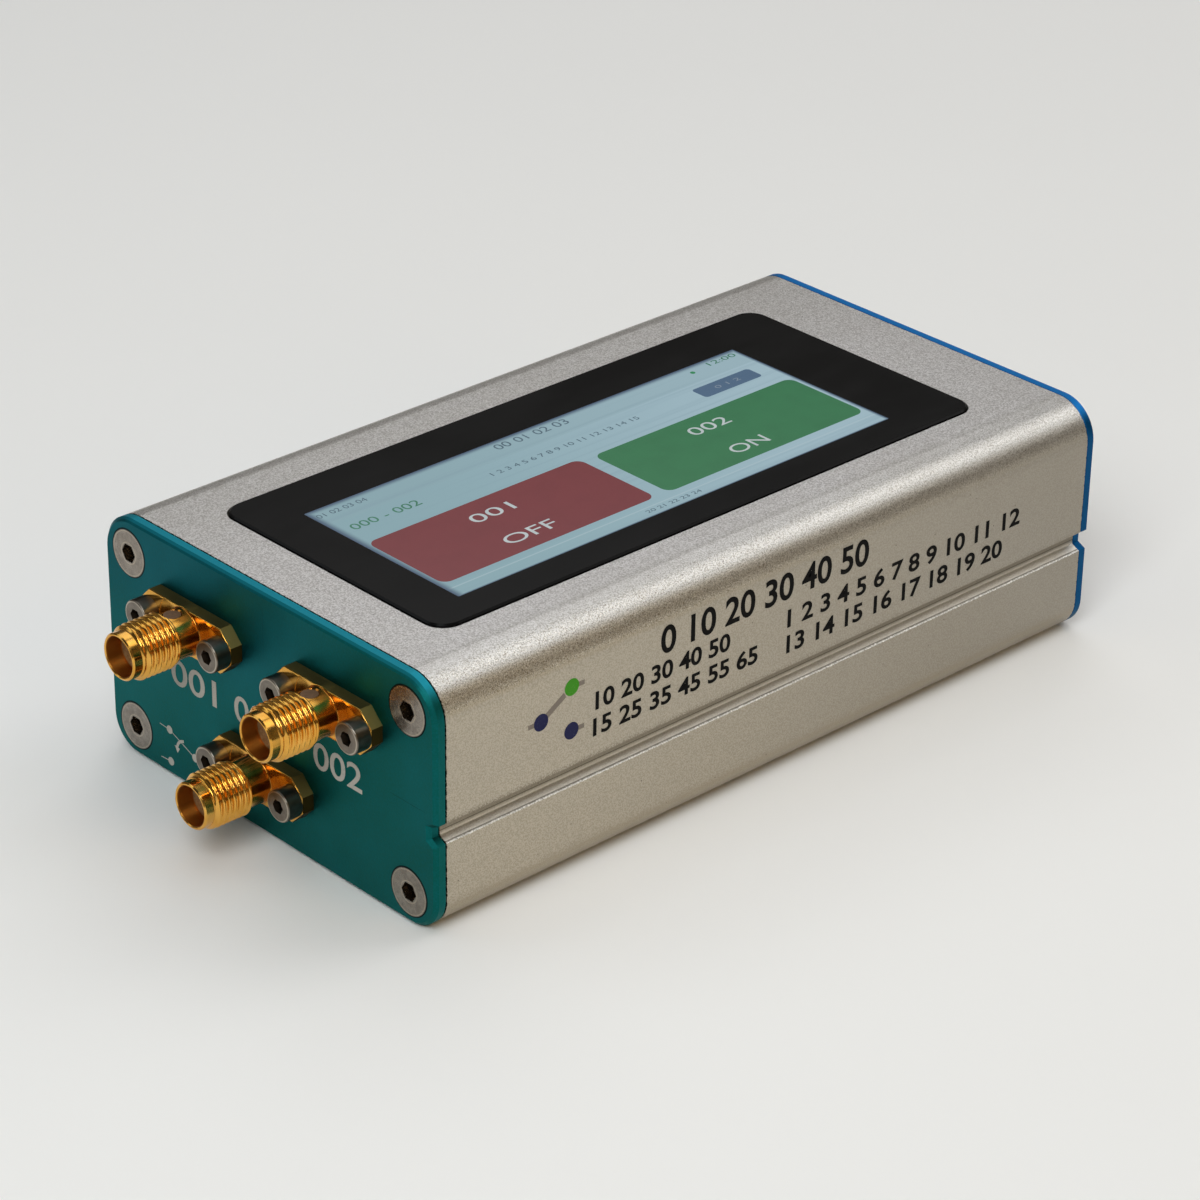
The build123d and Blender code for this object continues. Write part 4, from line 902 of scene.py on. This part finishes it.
SWITCH_DOTS = ((-17.1, 5.85), (-17.05, 1.85), (-12.65, 4.15))
SWITCH_DOT_RADIUS = 0.5
SWITCH_LINE = 0.1
SWITCH_LEAD = 1.75
SWITCH_LEAD_RISE = 0.1
SWITCH_COMMON_LEAD = 1.9
ARROW_MIDDLE = (-14.35, 3.9)
ARROW_RADIUS, ARROW_WIDTH, ARROW_HEAD = 1.5, 0.34, 0.75
ARROW_START, ARROW_END = math.radians(100.0), math.radians(168.0)


def front_prints():
    """Port numbers and the line symbol of a changeover switch, in warm light grey."""
    pale = ink("ink_pale", (0.47, 0.45, 0.40), (0.30, 0.32, 0.29), 0.5)
    low, high = -INK_SINK, INK_PROUD
    for number, (text, left) in enumerate(LEGENDS):
        place = (left, LEGEND_BASE, LEGEND_WIDTH, LEGEND_HEIGHT)
        mesh = lettering(text, PLATE, *place, low, high, LEGEND_WEIGHT)
        add_piece(f"port_legend_{number}", mesh, pale)
    dots = [disc(*place, SWITCH_DOT_RADIUS) for place in SWITCH_DOTS]
    first, second, common = SWITCH_DOTS
    lines = [
        bar((first[0] - SWITCH_LEAD, first[1] + SWITCH_LEAD_RISE), first, SWITCH_LINE),
        bar((second[0] - SWITCH_LEAD, second[1] - SWITCH_LEAD_RISE), second, SWITCH_LINE),
        bar(first, common, SWITCH_LINE),
        bar(common, (common[0] + SWITCH_COMMON_LEAD, common[1]), SWITCH_LINE),
    ]
    arrow = curved_arrow(ARROW_MIDDLE, ARROW_RADIUS, ARROW_START, ARROW_END, ARROW_WIDTH, ARROW_HEAD)
    add_piece("switch_symbol", joined([
        slab(dots, PLATE, low, high),
        slab(lines, PLATE, low, high * 0.8),
        slab([arrow], PLATE, low, high),
    ]), pale)


# name, text, left end, base line, width, height, weight of the strokes
SIDE_PRINTS = (
    ("side_scale", "0 10 20 30 40 50", -19.2, 21.9, 31.8, 3.35, 0.018),
    ("side_numbers_left_top", "10 20 30 40 50", -28.6, 18.85, 19.8, 2.2, 0.022),
    ("side_numbers_left_bottom", "15 25 35 45 55 65", -28.9, 15.75, 24.4, 2.2, 0.022),
    ("side_numbers_right_top", "1 2 3 4 5 6 7 8 9 10 11 12", 0.0, 18.3, 38.0, 2.3, 0.022),
    ("side_numbers_right_bottom", "13 14 15 16 17 18 19 20", 0.0, 15.1, 35.2, 2.3, 0.022),
)

BADGE_COMMON = (-36.3, 20.3)
BADGE_GREEN = (-32.0, 22.9)
BADGE_BLUE = (-32.0, 17.7)
BADGE_DOT = 1.0
BADGE_LINE = 0.7
BADGE_LEAD = 1.8
BADGE_LEVER_SHARE = 0.78  # how much of the way to the green contact the lever goes


def side_prints():
    """Rows of plain numbers in black, and a changeover symbol in green, blue and grey."""
    black = ink("ink_black", (0.0035, 0.0032, 0.003), (0.016, 0.014, 0.012), 0.5, 0.05)
    for name, text, *place, weight in SIDE_PRINTS:
        add_piece(name, lettering(text, SIDE, *place, -DIGIT_SINK, INK_PROUD, weight), black)
    green = ink("ink_green", (0.045, 0.27, 0.008), (0.10, 0.32, 0.06), 0.45)
    blue = ink("ink_blue", (0.008, 0.009, 0.06), (0.04, 0.045, 0.10), 0.45)
    grey = ink("ink_grey", (0.21, 0.18, 0.15), (0.30, 0.27, 0.23), 0.5)
    lever_end = Vector(BADGE_COMMON).lerp(Vector(BADGE_GREEN), BADGE_LEVER_SHARE)
    leads = []
    for (right, high), way in ((BADGE_COMMON, -1), (BADGE_GREEN, 1), (BADGE_BLUE, 1)):
        leads.append(bar((right, high), (right + way * BADGE_LEAD, high), BADGE_LINE * 0.8))
    marks = (
        ("badge_leads", grey, leads, 0.6),
        ("badge_contact_on", green, [disc(*BADGE_GREEN, BADGE_DOT)], 1.0),
        ("badge_contact_off", blue, [disc(*BADGE_BLUE, BADGE_DOT)], 1.0),
        ("badge_lever", grey, [bar(BADGE_COMMON, tuple(lever_end), BADGE_LINE)], 0.7),
        ("badge_pivot", blue, [disc(*BADGE_COMMON, BADGE_DOT)], 1.0),
    )
    for name, tint, shapes, thickness in marks:
        add_piece(name, slab(shapes, SIDE, -INK_SINK, INK_PROUD * thickness), tint)


# ---- the lit display

SCREEN_LEFT, SCREEN_RIGHT = -36.15, 29.2
SCREEN_LOW, SCREEN_HIGH = -14.5, 10.9
SCREEN_CORNER = 0.15
SCREEN_HEADER = 6.9  # the darker strip lies above this
SCREEN_FOOT_LINE = -12.6
SCREEN_BACK, SCREEN_TILE, SCREEN_TEXT = 0.006, 0.012, 0.018  # how far each stands proud
GLOW = 0.8


def lit(name, color, streak):
    """A lit area of the display under its glossy cover."""
    dark = (*(channel * 0.12 for channel in color), 1.0)
    r = Recipe(name, Base_Color=dark, Roughness=0.24, Emission_Strength=GLOW)
    r.color(r.mix(r.band(r.noise(3.0, detail=3.0), 0.35, 0.75), color, streak))
    r.bump(r.noise(0.2), 0.0005)
    return r


def screen_ground(name):
    """The display's pale ground: darker to the left and paler to the right as a painted reflection of the
    room, darker in its header and at its blue rim.
    """
    r = Recipe(name, Base_Color=(0.03, 0.045, 0.05, 1.0), Roughness=0.24, Emission_Strength=GLOW)
    x, y, _ = r.axes
    # painted reflection: the ground paler towards the right
    r.color(r.mix(r.band(x, SCREEN_LEFT, SCREEN_RIGHT), (0.23, 0.378, 0.425), (0.352, 0.498, 0.572)))
    r.lay((0.245, 0.375, 0.42), r.band(y, SCREEN_HEADER, SCREEN_HEADER + 0.15), 0.35)
    rows = r.noise(0.9, along=(0.015, 1.0, 1.0))
    r.lay((0.20, 0.31, 0.38), r.band(rows, 0.5, 0.75, 0.0, 0.35))
    r.lay((0.42, 0.55, 0.60), r.near(y, SCREEN_FOOT_LINE, 0.08, 0.06), 0.5)
    edge = r.minus(x, SCREEN_LEFT)
    for high, low, sharpness in ((SCREEN_RIGHT, x, 2.0), (SCREEN_HIGH, y, 1.2), (y, SCREEN_LOW, 4.0)):
        edge = r.math("MINIMUM", edge, r.times(r.minus(high, low), sharpness))
    r.lay((0.035, 0.07, 0.14), r.band(edge, 1.1, 0.0))
    r.bump(r.noise(0.2), 0.0005)
    return r


# each light of the display: its colour, and that of its streaks
LIGHTS = {
    "white": ((0.50, 0.56, 0.57), (0.44, 0.50, 0.52)),
    "slate": ((0.075, 0.13, 0.17), (0.10, 0.17, 0.21)),
    "green": ((0.035, 0.17, 0.10), (0.05, 0.20, 0.13)),
    "pale": ((0.20, 0.26, 0.33), (0.16, 0.22, 0.29)),
    "off": ((0.170, 0.026, 0.032), (0.158, 0.024, 0.030)),
    "on": ((0.024, 0.168, 0.066), (0.022, 0.155, 0.061)),
    "button": ((0.062, 0.124, 0.212), (0.067, 0.131, 0.222)),
    "dot": ((0.02, 0.22, 0.08), (0.02, 0.26, 0.10)),
}

# name, left, right, low, high, corner radius, light
SCREEN_TILES = (
    ("tile_off", -35.45, -4.65, -11.35, 1.2, 1.2, "off"),
    ("tile_on", -2.8, 28.5, -11.4, 0.75, 1.2, "on"),
    ("screen_button", 17.5, 26.7, 3.3, 5.9, 0.5, "button"),
)
SCREEN_DOT = (21.1, 9.3, 0.32)  # right, high, radius

# name, text, left end, base line, width, height, light
SCREEN_TEXTS = (
    ("tile_off_number", "001", -23.6, -3.2, 5.9, 1.9, "white"),
    ("tile_off_word", "OFF", -24.2, -9.4, 7.2, 2.0, "white"),
    ("tile_on_number", "002", 9.4, -3.2, 5.9, 1.9, "white"),
    ("tile_on_word", "ON", 9.7, -9.6, 5.4, 2.0, "white"),
    ("screen_corner_numbers", "01 02 03 04", -35.6, 8.9, 6.9, 0.85, "slate"),
    ("screen_route_numbers", "000 - 002", -34.4, 4.3, 9.6, 1.35, "green"),
    ("screen_title_numbers", "00 01 02 03", -9.7, 8.8, 10.9, 1.3, "slate"),
    ("screen_row_numbers", "1 2 3 4 5 6 7 8 9 10 11 12 13 14 15", -14.5, 4.3, 22.4, 0.8, "slate"),
    ("screen_foot_numbers", "20 21 22 23 24", -8.0, -13.7, 8.2, 0.62, "slate"),
    ("screen_clock", "12:00", 24.0, 9.3, 4.4, 0.9, "green"),
    ("screen_button_number", "0 1 2", 20.2, 4.25, 3.9, 0.7, "pale"),
)


def display():
    """What the display shows: two large tiles, a small button and rows of plain numbers."""
    lights = {name: lit("screen_" + name, *colors) for name, colors in LIGHTS.items()}
    ground = rounded(SCREEN_LEFT, SCREEN_RIGHT, SCREEN_LOW, SCREEN_HIGH, SCREEN_CORNER)
    add_piece("screen_ground", slab([ground], SCREEN, 0.0, SCREEN_BACK), screen_ground("screen_ground"))
    for name, *sides, light in SCREEN_TILES:
        add_piece(name, slab([rounded(*sides)], SCREEN, 0.0, SCREEN_TILE), lights[light])
    add_piece("screen_dot", slab([disc(*SCREEN_DOT)], SCREEN, 0.0, SCREEN_TILE), lights["dot"])
    for name, text, *place, light in SCREEN_TEXTS:
        add_piece(name, lettering(text, SCREEN, *place, 0.0, SCREEN_TEXT), lights[light])


# ---- jacks with a real thread

JACK_TURNS = {"sma_body_1": 0.0, "sma_body_2": 0.0, "sma_body_3": math.pi}  # round their axes
NECK_LENGTH = 4.2
NECK_FILLET = 0.18
THREAD_MAJOR = 3.175
THREAD_MINOR = 2.8
THREAD_PITCH = 0.7056
THREAD_TURNS = 7
THREAD_ROWS = 12  # rings of points in one pitch
THREAD_END = NECK_LENGTH + THREAD_TURNS * THREAD_PITCH
LEAD_RADIUS = 2.7
JACK_REACH = 10.35
TIP_CHAMFER = 0.15
BORE_DEPTH = 1.95
BORE_CHAMFER = 0.12
BACK_BORE_RADIUS = 2.05
FLANGE_CUT = 1.75
FLANGE_BEVEL = 0.09
FLANGE_HOLE_RADIUS = 1.1
PLUG_RADIUS = 0.95
PLUG_DISTANCE = 3.15
OVERLAP = 0.5  # how far a cutter reaches out of what it cuts
FLAT_AREA = 1.6  # a larger side of the mesh is a plane one
RING_RADIUS = 4.35  # tool line on the face of the flange
RING_WIDTH = 0.07
RING_DEPTH = 0.03
SEGMENTS = 84


def thread_radius(distance, turn):
    """Radius of the threaded stretch at a distance from the plate and an angle round it."""
    travelled = (distance - NECK_LENGTH) / THREAD_PITCH - turn / math.tau
    off_crest = abs(travelled - math.floor(travelled) - 0.5) * THREAD_PITCH
    share = 0.5 + 0.5 * math.cos(math.tau * off_crest / THREAD_PITCH)
    from_ends = min(distance - NECK_LENGTH, THREAD_END - distance)
    run_in = min(1.0, from_ends / (THREAD_PITCH * 0.5))
    return THREAD_MINOR + (THREAD_MAJOR - THREAD_MINOR) * share * max(0.0, run_in)


def ring(net, distance, radius):
    """One ring of points round the jack's axis, which runs along -X from the plate."""
    points = []
    for index in range(SEGMENTS):
        turn = math.tau * index / SEGMENTS
        reach = radius(turn) if callable(radius) else radius
        y, z = around((0.0, 0.0), reach, turn)
        points.append(net.verts.new((-distance * MM, y * MM, z * MM)))
    return points


def lathe(rows):
    """A closed solid from rings given as (distance, radius)."""
    net = bmesh.new()
    rings = [ring(net, *row) for row in rows]
    for near, far in zip(rings, rings[1:]):
        add_walls(net, near, far)
    net.faces.new(rings[0][::-1])
    net.faces.new(rings[-1])
    return net


def barrel():
    """Neck, thread and lead of a jack, without its bore."""
    rows = [(0.3, NECK_RADIUS + NECK_FILLET)]
    for step in range(5):
        turn = math.pi / 2 * step / 4
        reach = NECK_FILLET * (1 - math.sin(turn))
        rows.append((FLANGE_THICKNESS + NECK_FILLET * (1 - math.cos(turn)), NECK_RADIUS + reach))
    rows += [(NECK_LENGTH - 0.1, NECK_RADIUS), (NECK_LENGTH, THREAD_MINOR)]
    for row in range(1, THREAD_TURNS * THREAD_ROWS):
        distance = NECK_LENGTH + row * THREAD_PITCH / THREAD_ROWS
        rows.append((distance, lambda turn, distance=distance: thread_radius(distance, turn)))
    return lathe(rows + [
        (THREAD_END, THREAD_MINOR),
        (THREAD_END + 0.05, LEAD_RADIUS),
        (JACK_REACH - TIP_CHAMFER, LEAD_RADIUS),
        (JACK_REACH, LEAD_RADIUS - TIP_CHAMFER),
    ])


def flange():
    """Eight-sided mounting flange with softened edges."""
    y, z = FLANGE_LENGTH / 2, FLANGE_HEIGHT / 2
    half = [(y - FLANGE_CUT, z), (y, z - FLANGE_CUT), (y, FLANGE_CUT - z), (y - FLANGE_CUT, -z)]
    outline = half + [(-y, -z) for y, z in half]
    net = bmesh.new()
    back = [net.verts.new((0.0, y * MM, z * MM)) for y, z in outline]
    front = [net.verts.new((-FLANGE_THICKNESS * MM, y * MM, z * MM)) for y, z in outline]
    net.faces.new(back)
    face = net.faces.new(front[::-1])
    add_walls(net, back, front)
    bmesh.ops.recalc_face_normals(net, faces=net.faces)
    bmesh.ops.bevel(
        net, geom=list(face.edges), offset=FLANGE_BEVEL * MM, segments=3, profile=0.5, affect="EDGES",
    )
    return net


def tool_line():
    """A hoop that scores a shallow ring into the face of the flange."""
    deep, proud = FLANGE_THICKNESS - RING_DEPTH, FLANGE_THICKNESS + RING_DEPTH
    inner, outer = RING_RADIUS - RING_WIDTH / 2, RING_RADIUS + RING_WIDTH / 2
    net = bmesh.new()
    rings = [ring(net, *row) for row in ((deep, inner), (proud, inner), (proud, outer), (deep, outer))]
    for near, far in zip(rings, rings[1:] + rings[:1]):
        add_walls(net, near, far)
    return net


def cutters():
    """The bores of a jack: mating bore, back bore, screw holes, resin hole and tool line."""
    nets = [lathe([
        (-OVERLAP, BACK_BORE_RADIUS),
        (JACK_REACH - BORE_DEPTH, BACK_BORE_RADIUS),
        (JACK_REACH - BORE_DEPTH + 0.001, BORE_RADIUS),
        (JACK_REACH - BORE_CHAMFER, BORE_RADIUS),
        (JACK_REACH + 0.1, BORE_RADIUS + BORE_CHAMFER + 0.1),
    ])]
    for y in (-CAP_SCREW_Y, CAP_SCREW_Y):
        hole = lathe([(-OVERLAP, FLANGE_HOLE_RADIUS), (FLANGE_THICKNESS + OVERLAP, FLANGE_HOLE_RADIUS)])
        bmesh.ops.translate(hole, verts=hole.verts, vec=(0, y * MM, 0))
        nets.append(hole)
    plug = lathe([
        (NECK_RADIUS + OVERLAP, PLUG_RADIUS + 0.7),
        (NECK_RADIUS - 0.2, PLUG_RADIUS),
        (BACK_BORE_RADIUS + 0.15, PLUG_RADIUS),
    ])
    half_step = Matrix.Rotation(math.pi / SEGMENTS, 4, "X")  # keeps its points off those of the neck
    upright = Matrix.Rotation(math.pi / 2, 4, "Y") @ half_step
    shift = Matrix.Translation((-PLUG_DISTANCE * MM, 0, 0))
    bmesh.ops.transform(plug, verts=plug.verts, matrix=shift @ upright)
    nets += [plug, tool_line()]
    return nets


def as_object(name, nets):
    """One object from bmeshes, ready for a boolean."""
    return placed(name, joined([as_mesh("part", net) for net in nets]))


def carved(base, added, removed):
    """The mesh of base with added joined to it and removed cut out of it."""
    for operation, tool in (("UNION", added), ("DIFFERENCE", removed)):
        modifier = base.modifiers.new(operation, "BOOLEAN")
        modifier.operation = operation
        modifier.solver = "EXACT"
        modifier.object = tool
    bpy.context.view_layer.update()
    graph = bpy.context.evaluated_depsgraph_get()
    mesh = bpy.data.meshes.new_from_object(base.evaluated_get(graph))
    for piece in (base, added, removed):
        bpy.data.objects.remove(piece)
    return mesh


def jacks(finish):
    """Three jacks cut from one form. The lower one is turned over, with its resin hole below."""
    forms = (("flange", [flange()]), ("barrel", [barrel()]), ("bores", cutters()))
    mesh = carved(*(as_object(*form) for form in forms))
    smooth = [abs(side.normal.x) < 0.999 and side.area < FLAT_AREA * MM ** 2 for side in mesh.polygons]
    mesh.polygons.foreach_set("use_smooth", smooth)
    mesh.set_sharp_from_angle(angle=math.radians(32.0))
    for node, turn in JACK_TURNS.items():
        _, y, z = middle(node) * MM
        copy = mesh.copy()
        copy.transform(Matrix.Translation((FRONT_FACE * MM, y, z)) @ Matrix.Rotation(turn, 4, "X"))
        piece = add_piece(node.replace("sma_body", "threaded_jack"), copy, finish)
        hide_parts(node)
    bpy.data.meshes.remove(mesh)


# ---- studio

FLOOR_HALF = 3.0  # in metres, as are the distances and sizes of the lights
FLOOR_DROP = 0.02
AIM_HEIGHT = 15.0

# name, azimuth, elevation, distance, width, height, power, colour
SOFTBOXES = (
    ("back", 47.0, 48.0, 1.1, 0.7, 0.7, 1.8, (1.0, 0.99, 0.99)),
    ("rear", -20.0, 44.0, 1.1, 0.6, 0.8, 2.5, (1.0, 0.99, 0.97)),
    ("warm", -90.0, 30.0, 1.1, 0.6, 0.6, 1.4, (1.0, 0.70, 0.32)),
    ("top", 0.0, 88.0, 1.1, 0.9, 0.9, 2.7, (0.97, 0.99, 1.0)),
    ("front", 128.0, 40.0, 1.1, 0.6, 0.4, 0.9, (0.9, 0.97, 1.0)),
    ("lamp", -146.0, 44.0, 0.85, 0.4, 0.4, 3.5, (0.94, 0.98, 1.0)),
)


def floor():
    """A plain pale floor with the faintest unevenness."""
    r = Recipe("floor", Roughness=0.9)
    r.color(r.mix(r.noise(120.0, detail=3.0), (0.89, 0.89, 0.88), (0.92, 0.92, 0.91)))
    r.bump(r.noise(1.5, detail=3.0), 0.01)
    mesh = bpy.data.meshes.new("floor")
    square = ((-1, -1), (1, -1), (1, 1), (-1, 1))
    points = [(x * FLOOR_HALF, y * FLOOR_HALF, -FLOOR_DROP * MM) for x, y in square]
    mesh.from_pydata(points, [], [(0, 1, 2, 3)])
    mesh.materials.append(r.material)
    piece = placed("floor", mesh)


def softbox(name, azimuth, elevation, distance, width, height, power, color):
    """A soft light aimed at the middle of the case."""
    data = bpy.data.lights.new(name, "AREA")
    data.shape = "RECTANGLE"
    data.size = width
    data.size_y = height
    data.energy = power
    data.color = color
    light = placed(name, data)
    way = toward(azimuth, elevation)
    light.location = way * distance + Vector((0, 0, AIM_HEIGHT * MM))
    light.rotation_mode = "QUATERNION"
    light.rotation_quaternion = way.to_track_quat("Z", "Y")
    light.visible_camera = False


def surroundings():
    """A dim room round the set: brownish near the horizon and darker higher up."""
    world = bpy.data.worlds.new("world")
    world.use_nodes = True
    nodes = world.node_tree.nodes
    link = world.node_tree.links.new
    split = nodes.new("ShaderNodeSeparateXYZ")
    ramp = nodes.new("ShaderNodeValToRGB")
    link(nodes.new("ShaderNodeTexCoord").outputs["Generated"], split.inputs[0])
    link(split.outputs["Z"], ramp.inputs["Fac"])
    link(ramp.outputs["Color"], nodes["Background"].inputs["Color"])
    low, high = ramp.color_ramp.elements
    low.position, low.color = 0.0, (0.19, 0.172, 0.145, 1.0)
    high.position, high.color = 0.6, (0.045, 0.045, 0.045, 1.0)
    bpy.context.scene.world = world


def studio():
    """The floor, the lights and the room."""
    floor()
    surroundings()
    for light in SOFTBOXES:
        softbox(*light)
    bpy.context.scene.view_settings.view_transform = "Standard"


make_camera()
studio()
made = dress_nodes()
jacks(made["gold"])
front_prints()
side_prints()
display()
